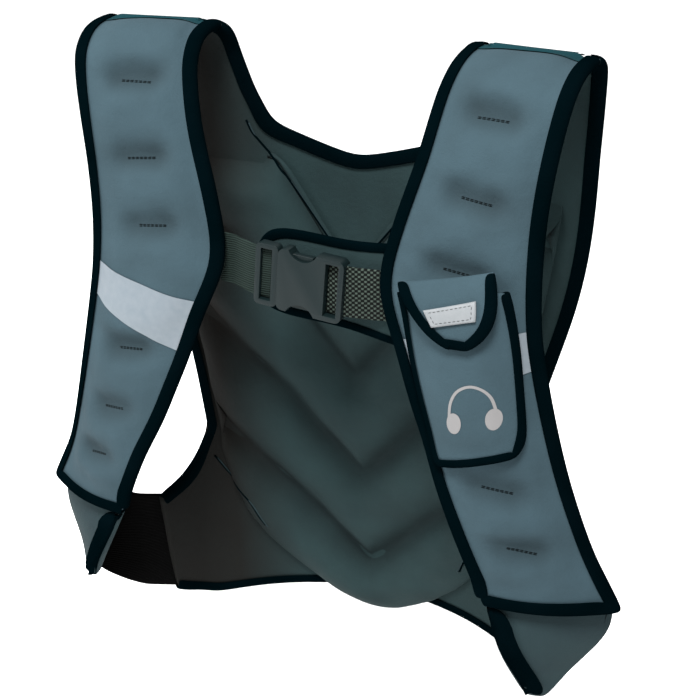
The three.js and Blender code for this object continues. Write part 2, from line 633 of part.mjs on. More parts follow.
// How far back the cloth lies at a place across and a drop.
const wrapPower = 2.4;
const outwardTurn = 0.004; // how fast the outward side turns to the wearer's side, per mm across
const nearCorner = [0.6, 0.3, 0.1]; // extra frames of the armhole binding, in rows above the wing's corner
const bodyRowAt = (drop, column) => {
  const last = bodyTable.length - 1;
  let k = bodyTable.findIndex((row) => row[column] > drop);
  if (k < 0) k = last;
  k = Math.max(k, 1);
  const [a, b] = [bodyTable[k - 1][column], bodyTable[k][column]];
  return k - 1 + (drop - a) / (b - a);
};
const backAt = (x, drop) => {
  const middle = columnAt(bodyTable, 'middleBack', bodyRowAt(drop, 'middleDrop'));
  const side = bodyRowAt(drop, 'armDrop');
  const across = Math.abs(x) / columnAt(bodyTable, 'armAcross', side);
  return lerp(middle, columnAt(bodyTable, 'armBack', side), across ** wrapPower);
};

const wingCount = wingColumns.length;
const midColumn = armColumns + wingCount;
const leanAt = (x, share) => hemLean * share * Math.max(Math.min(x / 100, 1.3), -1.3);

const bodyPoint = (row, column) => {
  const edge = bodyTable[row];
  const neckAcross = neckCorner * edge.armAcross;
  const inner = Math.min(column, neckColumns) / neckColumns;
  const outer = armShareAt(Math.max(column, neckColumns), edge.armAcross - neckAcross);
  const x = column <= neckColumns ? inner * neckAcross : lerp(neckAcross, edge.armAcross, outer);
  const drop = column <= neckColumns
    ? lerp(edge.middleDrop, edge.neckDrop, inner ** 1.2)
    : lerp(edge.neckDrop, edge.armDrop, outer);
  return vec(x, backAt(x, drop), seamHeight - drop);
};
const wingPoint = (row, column) => {
  const start = bodyPoint(wingRow, armColumns);
  const end = bodyPoint(bodyTable.length - 1, armColumns);
  const top = [start, ...wingColumns.map(
    (w) => vec(w.topAcross * shoulderHalfSpan, w.topBack * backDepth, seamHeight - w.topDrop * backDrop))];
  const hem = [end, ...wingColumns.map(
    (w) => vec(w.hemAcross * shoulderHalfSpan, w.hemBack * backDepth, seamHeight - w.hemDrop * backDrop))];
  const k = column - armColumns;
  const share = (row - wingRow) / (bodyTable.length - 1 - wingRow);
  return top[k].clone().lerp(hem[k], share);
};

// Rows of the back: fractional rows of the shoulder arms, then the rows of the body.
const armRows = [0.03, 0.5, 1, 1.5, 2, 2.5, 3, 3.5];
const backRows = armRows.length + bodyTable.length;
const neckRow = armRows.length;
const backPoint = (i, j) => {
  const side = Math.sign(j - midColumn) || 1;
  const column = Math.abs(j - midColumn);
  let point;
  if (i < neckRow) {
    const row = armRows[i];
    point = row <= 3 ? armPoint(row, column) : armPoint(3, column).lerp(bodyPoint(0, column), row - 3);
  } else if (column > armColumns) {
    point = wingPoint(i - neckRow, column);
  } else {
    point = bodyPoint(i - neckRow, column);
  }
  const lean = Math.max((i - neckRow - wingRow) / (bodyTable.length - 1 - wingRow), 0);
  return vec(point.x * side, point.y, point.z + leanAt(point.x * side, lean));
};
const backCell = (i, j) => {
  const column = Math.min(Math.abs(j - midColumn), Math.abs(j + 1 - midColumn));
  if (i < neckRow) return column >= neckColumns && column < armColumns;
  if (i < neckRow + wingRow) return column < armColumns;
  return true;
};
const backSheet = makeSheet(
  backRows, 2 * midColumn + 1, backPoint, () => clothThickness / 2,
  (point) => vec(point.x * outwardTurn, 1, point.z > archFoot ? 1 : 0),
  {
    cellAt: backCell,
    beyond: (i, j) => {
      const share = (Math.abs(j - midColumn) - neckColumns) / (armColumns - neckColumns);
      const row = strapRowAt(strapLength - shoulderTapeWidth / 2);
      if (i >= 0 || share < 0 || share > 1) return null;
      return mirrored(strapPoint(row, share), Math.sign(j - midColumn));
    },
    turned: (i, j) => j >= midColumn,
  },
);
addPiece('back_panel', backSheet.geometry(), 'lining');

const downTo = (first, last) => Array.from({ length: last - first + 1 }, (_, k) => first + k);
const neckRun = [
  ...downTo(0, neckRow - 1).map((i) => [i, midColumn - neckColumns, 0, -1]),
  [neckRow, midColumn - neckColumns, 1, -1],
  ...downTo(midColumn - neckColumns + 1, midColumn + neckColumns - 1).map((j) => [neckRow, j, 1, 0]),
  [neckRow, midColumn + neckColumns, 1, 1],
  ...downTo(0, neckRow - 1).reverse().map((i) => [i, midColumn + neckColumns, 0, 1]),
];
const neckFrames = trimmed(edgeFrames(backSheet, neckRun, bindingWidth), bindingEnd, bindingEnd);
addPiece('neck_binding', channelGeometry(neckFrames, bindingWall, coarseClearance), 'binding');
for (const { name, sign } of sides) {
  const armhole = [
    ...downTo(0, neckRow + wingRow - 1).map((i) => [i, midColumn + sign * armColumns, 0, -sign]),
    ...nearCorner.map((share) => [neckRow + wingRow - share, midColumn + sign * armColumns, 0, -sign]),
    [neckRow + wingRow, midColumn + sign * armColumns, 1, 0],
    ...downTo(armColumns + 1, midColumn).map((j) => [neckRow + wingRow, midColumn + sign * j, 1, 0]),
  ];
  const frames = trimmed(edgeFrames(backSheet, armhole, bindingWidth), bindingEnd, 0);
  addPiece(`armhole_binding_${name}`, channelGeometry(frames, bindingWall, coarseClearance), 'binding');
}
const hemRow = downTo(0, 2 * midColumn).map((j) => [backRows - 1, j, -1, 0]);
addPiece('hem_binding', channelGeometry(edgeFrames(backSheet, hemRow, bindingWidth), bindingWall), 'binding');

// Shoulder tapes, over the seam between a strap and the back
for (const { name, sign } of sides) {
  const strap = strapSheets[name];
  const reach = shoulderTapeWidth / 2 - clearance;
  const lastRow = strap.rows - 1;
  const shares = [1.2, ...downTo(2, strapColumns - 3), strapColumns - 2.2];
  const step = (from, to) => from.at.clone().lerp(to.at, reach / from.at.distanceTo(to.at));
  const rowsOf = (column) => {
    const seam = placeOn(strap, lastRow, column);
    const ahead = placeOn(strap, lastRow - 1, column);
    const low = Math.floor(column - 1);
    const share = lerp(quiltShares[low], quiltShares[low + 1], column - 1 - low);
    const backColumn = lerp(neckColumns + 1, armColumns - 1, share);
    const start = placeOn(backSheet, 0, midColumn + sign * backColumn);
    const behind = placeOn(backSheet, 1, midColumn + sign * backColumn);
    return [
      { at: step(seam, ahead), normal: ahead.normal },
      seam,
      { at: step(start, behind), normal: behind.normal },
    ];
  };
  const nodeAt = (i, j) => {
    const { at, normal } = rowsOf(shares[j])[i];
    const low = layerClearance;
    return {
      outer: at.clone().addScaledVector(normal, low + tapeWall),
      inner: at.clone().addScaledVector(normal, low),
    };
  };
  addPiece(`shoulder_tape_${name}`, shellGeometry(3, shares.length, nodeAt), 'tape');
}

// Weight pad: chevron rows across the inner face of the back, thick between the seams
const padTable = chevrons.map((row) => ({
  point: row.point * backDrop,
  kneeAcross: row.kneeAcross * shoulderHalfSpan,
  kneeDrop: row.kneeDrop * backDrop,
  endAcross: row.endAcross * shoulderHalfSpan,
  endDrop: row.endDrop * backDrop,
  belly: row.belly,
}));
const bellyDepth = 0.03; // how far the round foot of the pad stands out of the straight line
const padHalfColumns = 8;
const padKnee = 4;
const padClearance = 1.4; // to the back's coarser facets
const hemStart = 0.88; // where the pad starts to stand off over the hem binding, of backDrop
const hemFull = 0.95;
const padRows = (chevrons.length - 1) * rowsPerChevron + 1;
const padPlace = (i, j) => {
  const row = i / rowsPerChevron;
  const side = Math.sign(j - padHalfColumns) || 1;
  const column = Math.abs(j - padHalfColumns);
  const [point, kneeAcross, kneeDrop, endAcross, endDrop, belly] = [
    'point', 'kneeAcross', 'kneeDrop', 'endAcross', 'endDrop', 'belly',
  ].map((key) => columnAt(padTable, key, row));
  const inner = Math.min(column / padKnee, 1);
  const outer = Math.max((column - padKnee) / (padHalfColumns - padKnee), 0);
  const round = Math.max(belly, 0) * bellyDepth * backDrop * Math.sin(Math.PI * outer);
  const x = column <= padKnee ? inner * kneeAcross : lerp(kneeAcross, endAcross, outer) + 0.5 * round;
  const slope = inner ** (1 + Math.max(belly, 0));
  const drop = column <= padKnee ? lerp(point, kneeDrop, slope) : lerp(kneeDrop, endDrop, outer) + round;
  return { x: x * side, drop };
};
const padNode = (i, j) => {
  const { x, drop } = padPlace(i, j);
  const onSeam = i % rowsPerChevron === 0;
  const onSide = j === 0 || j === 2 * padHalfColumns;
  const nearSide = j === 1 || j === 2 * padHalfColumns - 1;
  let loft = onSeam || onSide ? padSeamLoft : padLoft;
  if (nearSide && !onSeam) loft = lerp(padSeamLoft, padLoft, 0.7);
  const overHem = THREE.MathUtils.smoothstep(drop, hemStart * backDrop, hemFull * backDrop);
  const y = backAt(x, drop) - clothThickness / 2 - padClearance - overHem * (bindingWall + clearance);
  return { outer: vec(x, y - loft, seamHeight - drop), inner: vec(x, y, seamHeight - drop) };
};
addPiece('weight_pad', shellGeometry(padRows, 2 * padHalfColumns + 1, padNode), 'lining');

// Side closures
const tabTable = tabRows.map((row) => ({
  mx: row.medialAcross * hemHalfSpan,
  my: -row.medialFore * chestDepth,
  mz: seamHeight - strapDrop - row.medialBelow * tabDrop,
  lx: row.lateralAcross * hemHalfSpan,
  ly: -row.lateralFore * chestDepth,
  lz: seamHeight - strapDrop - row.lateralBelow * tabDrop,
}));
const tabColumns = 4;
const tabBulge = 0.08; // of the tab's width at each row
const tabEdge = (i, sign, edge = 'lateral') => {
  const row = tabTable[i];
  const swing = (-sign * tabSwing * i) / (tabTable.length - 1);
  const [x, y, z] = edge === 'medial' ? [row.mx, row.my, row.mz] : [row.lx, row.ly, row.lz];
  return vec(sign * (x + swing), y, z);
};
for (const { name, sign } of sides) {
  const tabPoint = (i, j) => {
    const share = j / (tabColumns - 1);
    const [medial, lateral] = [tabEdge(i, sign, 'medial'), tabEdge(i, sign)];
    const bulge = tabBulge * medial.distanceTo(lateral) * Math.sin(Math.PI * share);
    const place = medial.lerp(lateral, share);
    place.y -= bulge;
    return place;
  };
  const tab = makeSheet(tabTable.length, tabColumns, tabPoint, () => clothThickness / 2, () => vec(0, -1, 0));
  addPiece(`side_tab_${name}`, tab.geometry(), 'neoprene');
  const run = downTo(1, tabTable.length - 1).map((i) => [i, 0, 0, 1]);
  const frames = edgeFrames(tab, run, trimBindingWidth);
  addPiece(`tab_binding_${name}`, channelGeometry(frames, trimBindingWall, coarseClearance), 'binding');
}

// Elastic between a side wing and the back of the side tab
const elasticColumns = 6;
const elasticSetback = 7; // behind the tab's middle
const elasticInset = 5; // inside the tab's lateral edge
for (const { name, sign } of sides) {
  const wingEnd = (share) => {
    const row = lerp(neckRow + wingRow, backRows - 1, share);
    const low = Math.min(Math.floor(row), backRows - 2);
    const column = midColumn + sign * midColumn;
    const ends = [low, low + 1].map((i) => backSheet.nodes[i][column].middle);
    return ends[0].clone().lerp(ends[1], row - low);
  };
  const tabBack = (i) => {
    const place = tabEdge(i + 1, sign);
    return vec(place.x - sign * elasticInset, place.y + elasticSetback, place.z);
  };
  const rows = tabTable.length - 1;
  const start = bindingWall + 2 * clearance; // clear of the wing's end
  const middleAt = (i, j) => {
    const from = wingEnd(i / (rows - 1));
    const to = tabBack(i);
    const t = lerp(start / from.distanceTo(to), 1, j / (elasticColumns - 1));
    const place = from.lerp(to, t);
    place.y -= 0.08 * chestDepth * Math.sin(Math.PI * t);
    return place;
  };
  const elastic = makeSheet(rows, elasticColumns, middleAt, () => webbingThickness / 2, () => vec(0, -1, 0));
  addPiece(`side_elastic_${name}`, elastic.geometry(), 'elastic');
}

// Sternum strap, in a frame of its own: x along the strap, y back, z up

const sternum = new THREE.Group();
sternum.position.set(sternumShift, -sternumDepth, seamHeight - sternumDrop);
sternum.rotation.y = radians(sternumLean);
vest.add(sternum);

function toSolid(geometry) {
  const plain = geometry.clone();
  plain.deleteAttribute('normal');
  plain.deleteAttribute('uv');
  const merged = mergeVertices(plain, 1e-4);
  return new wasm.Manifold(new wasm.Mesh({
    numProp: 3,
    vertProperties: new Float32Array(merged.attributes.position.array),
    triVerts: new Uint32Array(merged.index.array),
  }));
}

function fromSolid(solid) {
  const mesh = solid.getMesh();
  const geometry = new THREE.BufferGeometry();
  geometry.setAttribute('position', new THREE.BufferAttribute(mesh.vertProperties, 3));
  geometry.setIndex(new THREE.BufferAttribute(mesh.triVerts, 1));
  return geometry;
}

// An outline in x and z, made solid from a front to a back depth.
function plate(shape, front, back, curveSegments = 4) {
  const depth = back - front;
  const geometry = new THREE.ExtrudeGeometry(shape, { depth, bevelEnabled: false, curveSegments });
  geometry.rotateX(Math.PI / 2);
  geometry.translate(0, back, 0);
  return toSolid(geometry);
}

function roundedBox(x0, x1, halfHeight, radius) {
  const shape = new THREE.Shape();
  const [z0, z1] = [-halfHeight, halfHeight];
  shape.moveTo(x0 + radius, z0);
  shape.lineTo(x1 - radius, z0);
  shape.absarc(x1 - radius, z0 + radius, radius, -Math.PI / 2, 0, false);
  shape.lineTo(x1, z1 - radius);
  shape.absarc(x1 - radius, z1 - radius, radius, 0, Math.PI / 2, false);
  shape.lineTo(x0 + radius, z1);
  shape.absarc(x0 + radius, z1 - radius, radius, Math.PI / 2, Math.PI, false);
  shape.lineTo(x0, z0 + radius);
  shape.absarc(x0 + radius, z0 + radius, radius, Math.PI, 1.5 * Math.PI, false);
  return shape;
}

const box = (x0, x1, y0, y1, z0, z1) => {
  const geometry = new THREE.BoxGeometry(x1 - x0, y1 - y0, z1 - z0);
  geometry.translate((x0 + x1) / 2, (y0 + y1) / 2, (z0 + z1) / 2);
  return toSolid(geometry);
};

const barWidth = 4;
const slotMargin = 0.8; // webbing to the sides of its slot
const slotHalf = webbingWidth / 2 + slotMargin;
const bodyHalf = buckleThickness / 2;
const socketStart = -socketLength / 2;
const socketEnd = socketLength / 2;
const plugStart = socketStart - clearance - plugBaseLength;
const frameEnd = socketEnd + frameLength;
const prongWidth = 7;
const prongThickness = 5;
const tongueLength = 26;
const windowRadius = 12;
const windowDepth = 7;
const windowMiddle = socketStart + 19;
const plugThickness = 8;
const plugSlotWidth = 9;
const barBack = -0.4; // the back of the bars that the webbing goes round
const tongueHalf = 7;
const socketWall = 3;

const windowDisc = (side, radius, front, back) => {
  const disc = new THREE.Shape();
  const middle = side * (buckleHeight / 2 + windowRadius - windowDepth);
  disc.absarc(windowMiddle, middle, radius, 0, 2 * Math.PI, false);
  return plate(disc, front, back, 20);
};

// The plug: a base with a slot for the webbing, and a tongue with two side prongs
const plugHalf = plugThickness / 2;
const prongHalf = prongThickness / 2;
const tongueEnd = socketStart + tongueLength;
let plug = plate(roundedBox(plugStart, socketStart - clearance, buckleHeight / 2, 4), -plugHalf, plugHalf);
const plugSlot = plugStart + barWidth;
plug = plug.subtract(
  box(plugSlot, plugSlot + plugSlotWidth, -buckleThickness, buckleThickness, -slotHalf, slotHalf));
plug = plug.subtract(box(plugStart - 1, plugSlot + 1, barBack, buckleThickness, -slotHalf, slotHalf));
plug = plug.add(box(socketStart - barWidth, tongueEnd, -prongHalf, prongHalf, -tongueHalf, tongueHalf));
const cavityHalf = buckleHeight / 2 - socketWall;
for (const side of [-1, 1]) {
  const reach = cavityHalf - clearance;
  const prong = box(socketStart - barWidth, tongueEnd, -prongHalf, prongHalf,
    Math.min(side * reach, side * (reach - prongWidth)), Math.max(side * reach, side * (reach - prongWidth)));
  plug = plug.add(prong);
}
addPiece('buckle_plug', fromSolid(plug), 'plastic', sternum);

// The socket: a hollow body with a window over each prong, and an open frame for the webbing
let socket = plate(roundedBox(socketStart, frameEnd, buckleHeight / 2, 5), -bodyHalf, bodyHalf);
const cavityDepth = prongHalf + clearance;
socket = socket.subtract(
  box(socketStart - 1, tongueEnd + 1, -cavityDepth, cavityDepth, -cavityHalf, cavityHalf));
for (const side of [-1, 1]) {
  socket = socket.subtract(windowDisc(side, windowRadius, -buckleThickness, buckleThickness));
}
const frameBar = frameEnd - barWidth;
socket = socket.subtract(box(socketEnd, frameBar, -buckleThickness, buckleThickness, -slotHalf, slotHalf));
socket = socket.subtract(box(frameBar - 1, frameEnd + 1, barBack, buckleThickness, -slotHalf, slotHalf));
addPiece('buckle_socket', fromSolid(socket), 'plastic', sternum);

// Webbing: from a slot of the buckle, behind the bar, to the back of each strap
const webbingBehind = 9.8; // behind the buckle's middle, where it passes a strap's binding
const webbingBend = 54; // from the middle out, where it starts to go behind the binding
const webbingEnd = 71;
for (const { name, sign } of sides) {
  const bar = sign < 0 ? -plugStart : frameEnd;
  const end = sign < 0 ? bar - barWidth - 7 : socketEnd + clearance;
  const route = [
    [end, 1.2],
    [bar + 1.5, 1.2],
    [bar + 7, 2.6],
    [0.5 * (bar + 7 + webbingBend), 0.5 * webbingBehind],
    [webbingBend, 7],
    [webbingBend + 6, webbingBehind],
    [webbingEnd, webbingBehind],
  ];
  const nodeAt = (i, j) => {
    const [x, y] = route[i];
    const [bx, by] = route[Math.max(i - 1, 0)];
    const [ax, ay] = route[Math.min(i + 1, route.length - 1)];
    const normal = vec(ay - by, 0, 0).setY(-(ax - bx)).normalize();
    const z = (j - 0.5) * webbingWidth;
    const place = (lift) => vec(sign * (x + normal.x * lift), y + normal.y * lift, z);
    return { outer: place(webbingThickness / 2), inner: place(-webbingThickness / 2) };
  };
  addPiece(`sternum_webbing_${name}`, shellGeometry(route.length, 2, nodeAt), 'webbing', sternum);
}

// Comfort pad behind the buckle, held behind the left strap and free at its round end
const padEnds = [
  { along: 0, height: 0.24 },
  { along: 0.03, height: 0.36 },
  { along: 0.085, height: 0.45 },
  { along: 0.17, height: 0.49 },
  { along: 0.32, height: 0.5 },
  { along: 0.5, height: 0.49 },
  { along: 0.66, height: 0.5 },
  { along: 0.82, height: 0.54 },
  { along: 1, height: 0.58 },
];
const padLevels = [-1, -0.72, -0.3, 0.3, 0.72, 1];
const sternumPadDepth = 15.5; // behind the buckle's middle
const padSheet = makeSheet(
  padEnds.length, padLevels.length,
  (i, j) => {
    const x = lerp(-sternumPadReach, sternumPadTail, padEnds[i].along);
    const sag = 3 * padEnds[i].along;
    return vec(x, sternumPadDepth, padEnds[i].height * sternumPadHeight * padLevels[j] - 3 + sag);
  },
  (i, j) => {
    const fromEdge = Math.min(i, j + 1, padLevels.length - j);
    if (fromEdge < 2) return 0.2 * sternumPadThickness;
    return (fromEdge === 2 ? 0.235 : 0.5) * sternumPadThickness;
  },
  () => vec(0, -1, 0),
);
addPiece('sternum_pad', padSheet.geometry(), 'lining', sternum);
const lastLevel = padLevels.length - 1;
const padRun = [
  ...downTo(1, padEnds.length - 1).reverse().map((i) => [i, lastLevel, 0, -1]),
  [0, lastLevel, 1, -1],
  ...downTo(1, lastLevel - 1).reverse().map((j) => [0, j, 1, 0]),
  [0, 0, 1, 1],
  ...downTo(1, padEnds.length - 1).map((i) => [i, 0, 0, 1]),
];
const padFrames = edgeFrames(padSheet, padRun, trimBindingWidth);
addPiece('sternum_pad_binding', channelGeometry(padFrames, trimBindingWall), 'binding', sternum);

// Reflective bands across the straps
for (const { name } of sides) {
  const strap = strapSheets[name];
  const inside = strapStations.map((s, i) => i).filter(
    (i) => strapStations[i] > bandStart + 1 && strapStations[i] < bandStart + bandWidth - 1);
  const rowOf = (distance) => {
    const k = strapStations.findIndex((s) => s >= distance);
    return k - 1 + (distance - strapStations[k - 1]) / (strapStations[k] - strapStations[k - 1]);
  };
  const rows = [rowOf(bandStart), ...inside, rowOf(bandStart + bandWidth)];
  const nodeAt = (i, j) => {
    const { at, normal } = placeOn(strap, rows[i], j + 1);
    return {
      outer: at.clone().addScaledVector(normal, clearance + tapeWall),
      inner: at.clone().addScaledVector(normal, clearance),
    };
  };
  addPiece(`reflective_band_${name}`, shellGeometry(rows.length, strapColumns - 2, nodeAt), 'reflector');
}

// Pocket and flap, on the wearer's left strap

const leftStrap = strapSheets.left;
const onStrap = (x, drop, lift) => {
  const { at, normal } = locate(leftStrap, x, seamHeight - drop, 15, 4);
  return at.addScaledVector(normal, lift);
};
const rowPlace = (row, share, topX, topDrop, width, height) => [
  topX + lerp(row.leftAcross, row.rightAcross, share) * width,
  topDrop + lerp(row.leftDown, row.rightDown, share) * height,
];
const trimLip = pocketEdge / 2 + trimClearance + trimBindingWall;
const pocketLow = layerClearance + tapeWall + clearance + trimLip; // over the reflective band
const pocketSheet = makeSheet(
  pocketRows.length, pocketShares.length,
  (i, j) => {
    const puff = pocketRows[i].loft * pocketPuff[j];
    const [x, drop] = rowPlace(
      pocketRows[i], pocketShares[j], pocketTopX, pocketTopDrop, pocketWidth, pocketHeight);
    return onStrap(x, drop, lerp(pocketLow, pocketLoft / 2 + 2 * layerClearance + tapeWall, puff));
  },
  (i, j) => lerp(pocketEdge, pocketLoft, pocketRows[i].loft * pocketPuff[j]) / 2,
  () => vec(0, -1, 0),
);
addPiece('pocket', pocketSheet.geometry(), 'neoprene');
const lastPocketRow = pocketRows.length - 1;
const lastPocketColumn = pocketShares.length - 1;
const pocketRun = [
  ...downTo(0, lastPocketRow - 1).map((i) => [i, 0, 0, 1]),
  [lastPocketRow, 0, -1, 1],
  ...downTo(1, lastPocketColumn - 1).map((j) => [lastPocketRow, j, -1, 0]),
  [lastPocketRow, lastPocketColumn, -1, -1],
  ...downTo(0, lastPocketRow - 1).reverse().map((i) => [i, lastPocketColumn, 0, -1]),
];
const pocketFrames = edgeFrames(pocketSheet, pocketRun, trimBindingWidth);
addPiece('pocket_binding', channelGeometry(pocketFrames, trimBindingWall, trimClearance), 'binding');

const flapSheet = makeSheet(
  flapRows.length, flapColumns,
  (i, j) => {
    const share = j / (flapColumns - 1);
    const [x, drop] = rowPlace(flapRows[i], share, flapTopX, flapTopDrop, flapWidth, flapHeight);
    return onStrap(x, drop, flapRows[i].standOff * flapStandOff);
  },
  () => flapThickness / 2,
  () => vec(0, -1, 0),
);
addPiece('pocket_flap', flapSheet.geometry(), 'neoprene');
const lastFlapRow = flapRows.length - 1;
const flapRun = [
  ...downTo(0, lastFlapRow - 1).map((i) => [i, 0, 0, 1]),
  [lastFlapRow, 0, -1, 1],
  ...downTo(1, flapColumns - 2).map((j) => [lastFlapRow, j, -1, 0]),
  [lastFlapRow, flapColumns - 1, -1, -1],
  ...downTo(0, lastFlapRow - 1).reverse().map((i) => [i, flapColumns - 1, 0, -1]),
];
const flapFrames = edgeFrames(flapSheet, flapRun, trimBindingWidth);
addPiece('flap_binding', channelGeometry(flapFrames, trimBindingWall, trimClearance), 'binding');

const patchNode = (i, j) => {
  const share = j / (flapColumns - 1);
  const top = lerp(patch.topLeft, patch.topRight, share);
  const bottom = lerp(patch.bottomLeft, patch.bottomRight, share);
  const column = lerp(patch.inset, flapColumns - 1 - patch.inset, share);
  const { at, normal } = placeOn(flapSheet, lerp(top, bottom, i / 2), column);
  return {
    outer: at.clone().addScaledVector(normal, layerClearance + tapeWall),
    inner: at.clone().addScaledVector(normal, layerClearance),
  };
};
addPiece('flap_reflector', shellGeometry(3, flapColumns, patchNode), 'reflector');

export default vest;
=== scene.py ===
import math

import bmesh
import bpy
from mathutils import Matrix, Vector, noise
from mathutils.bvhtree import BVHTree


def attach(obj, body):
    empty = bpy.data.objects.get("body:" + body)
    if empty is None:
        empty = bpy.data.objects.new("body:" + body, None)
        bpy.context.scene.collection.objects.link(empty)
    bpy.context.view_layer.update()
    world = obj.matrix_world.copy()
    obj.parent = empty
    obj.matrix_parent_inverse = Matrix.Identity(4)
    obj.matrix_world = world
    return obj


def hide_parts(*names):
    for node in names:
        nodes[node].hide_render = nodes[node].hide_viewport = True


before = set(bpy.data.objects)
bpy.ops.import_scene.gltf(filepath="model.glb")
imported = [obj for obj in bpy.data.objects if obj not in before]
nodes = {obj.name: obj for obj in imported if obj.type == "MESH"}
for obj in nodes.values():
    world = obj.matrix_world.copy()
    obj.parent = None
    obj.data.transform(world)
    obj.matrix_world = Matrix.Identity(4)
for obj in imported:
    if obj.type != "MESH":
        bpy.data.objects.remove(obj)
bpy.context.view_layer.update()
mm = 0.001
sides = {"right": -1, "left": 1}  # of the wearer, with the sign of x


# How far a value has gone from one end to the other, from 0 to 1
def share(value, start, end):
    return min(max((value - start) / (end - start), 0), 1)


# Shader maths: a socket that can be added, multiplied and so on


class Value:
    def __init__(self, graph, socket):
        self.graph = graph
        self.socket = socket

    def math(self, operation, *others):
        return self.graph.node("ShaderNodeMath", [self, *others], operation=operation)

    def __add__(self, other):
        return self.math("ADD", other)

    def __sub__(self, other):
        return self.math("SUBTRACT", other)

    def __mul__(self, other):
        return self.math("MULTIPLY", other)

    def sin(self):
        return self.math("SINE")

    def clamp(self, low=0, high=1):
        return self.math("MAXIMUM", low).math("MINIMUM", high)


class Graph:
    def __init__(self, name):
        self.material = bpy.data.materials.new(name)
        self.material.use_nodes = True
        self.tree = self.material.node_tree
        self.surface = self.tree.nodes["Principled BSDF"]
        self.place = self.node("ShaderNodeTexCoord", [], output="Object")

    # A node with its inputs in order or by name, and its settings
    def node(self, kind, inputs, output=0, **settings):
        made = self.tree.nodes.new(kind)
        for key, value in settings.items():
            setattr(made, key, value)
        pairs = inputs.items() if isinstance(inputs, dict) else enumerate(inputs)
        for key, value in pairs:
            if isinstance(value, Value):
                self.tree.links.new(value.socket, made.inputs[key])
            else:
                made.inputs[key].default_value = value
        return Value(self, made.outputs[output])

    def axes(self):
        made = self.tree.nodes.new("ShaderNodeSeparateXYZ")
        self.tree.links.new(self.place.socket, made.inputs[0])
        return [Value(self, out) for out in made.outputs]

    def noise(self, scale, detail=2.0):
        inputs = {"Vector": self.place, "Scale": scale, "Detail": detail}
        return self.node("ShaderNodeTexNoise", inputs)

    def mix(self, factor, a, b):
        made = self.tree.nodes.new("ShaderNodeMix")
        made.data_type = "RGBA"
        for socket, value in ((made.inputs[0], factor), (made.inputs[6], a), (made.inputs[7], b)):
            if isinstance(value, Value):
                self.tree.links.new(value.socket, socket)
            else:
                socket.default_value = value
        return Value(self, made.outputs[2])

    def bump(self, height, distance):
        made = self.node("ShaderNodeBump", {"Height": height, "Distance": distance, "Strength": 1})
        self.tree.links.new(made.socket, self.surface.inputs["Normal"])

    def set(self, **values):
        for key, value in values.items():
            socket = self.surface.inputs[key.replace("_", " ")]
            if isinstance(value, Value):
                self.tree.links.new(value.socket, socket)
            else:
                socket.default_value = value
        return self.material


# Linear colour of a six-figure colour code
def rgb(code):
    parts = [int(code[k : k + 2], 16) / 255 for k in (0, 2, 4)]
    linear = [p / 12.92 if p <= 0.04045 else ((p + 0.055) / 1.055) ** 2.4 for p in parts]
    return (*linear, 1)


# Materials

cloth = {
    # the hollow colours are painted shade in the dents and grooves
    "neoprene": {"base": "27353B", "shade": "212D32", "hollowShade": "12181A", "grain": 1500},
    # the straps' neoprene darkened as painted shade, for the side tabs that face down
    "shadedNeoprene": {"base": "1B2729", "shade": "161F22", "hollowShade": "0D1213", "grain": 1500},
    "lining": {"base": "182526", "shade": "141E1F", "hollowShade": "070B0C", "grain": 1500},
    "binding": {"base": "010507", "shade": "000304", "hollowShade": "000203", "grain": 2600},
    "tape": {"base": "07262B", "shade": "051D21", "hollowShade": "030E10", "grain": 2600},
}
sideShade = {"colour": "0B0705", "from": 0.06, "gain": 14, "most": 0.85}  # painted shade, darker and browner by distance sideways towards the wearer's right


def clothMaterial(name, base, shade, hollowShade, grain):
    g = Graph(name)
    tone = (g.noise(28, 3) - 0.3) * 2.2
    fine = g.noise(grain, 2)
    mottle = (tone * 0.7 + fine * 0.5).clamp()
    colour = g.mix(mottle, rgb(shade), rgb(base))
    # painted shade: darker in the tack dents and the pad's grooves
    shadeMask = g.node("ShaderNodeAttribute", [], output=2, attribute_name="hollowShade")
    colour = g.mix((shadeMask * 0.75).clamp(), colour, rgb(hollowShade))
    if name == "lining":  # painted shade, darker and browner towards the wearer's right; grey on the outer side
        gone = (g.axes()[0] * -1 - sideShade["from"]) * sideShade["gain"]
        colour = g.mix(gone.clamp(0, sideShade["most"]), colour, rgb(sideShade["colour"]))
        outer = g.node("ShaderNodeAttribute", [], output=2, attribute_name="outer")
        grey = g.mix(mottle, rgb(cloth["neoprene"]["shade"]), rgb(cloth["neoprene"]["base"]))
        colour = g.mix(outer, colour, grey)
    g.bump(fine + g.noise(grain / 6, 3) * 1.6, 0.00022)
    shine = 0 if name == "binding" else 0.06
    return g.set(Base_Color=colour, Roughness=0.9, Specular_IOR_Level=shine)


materials = {name: clothMaterial(name, **look) for name, look in cloth.items()}


def ribbedMaterial(name, base, shade, pitch):
    g = Graph(name)
    along = g.axes()[2]
    rib = (along * (2 * math.pi / pitch)).sin() * 0.5 + 0.5
    # lighter rib crests and darker grooves: painted highlight and painted shade along the ribs,
    # mixed with random tone
    colour = g.mix((rib * 0.8 + g.noise(900) * 0.3).clamp(), rgb(shade), rgb(base))
    g.bump(rib, 0.4 * mm)
    return g.set(Base_Color=colour, Roughness=0.85, Specular_IOR_Level=0.02)


ribbed = {
    "elastic": ("elastic", "010101", "000000", 1.6 * mm),
    "webbingRibbed": ("webbing_ribbed", "1C2522", "0B0F0E", 1.7 * mm),
}
for key, look in ribbed.items():
    materials[key] = ribbedMaterial(*look)


weave = {"across": 4.2 * mm, "along": 3.6 * mm, "base": "2F3732", "shade": "040605"}


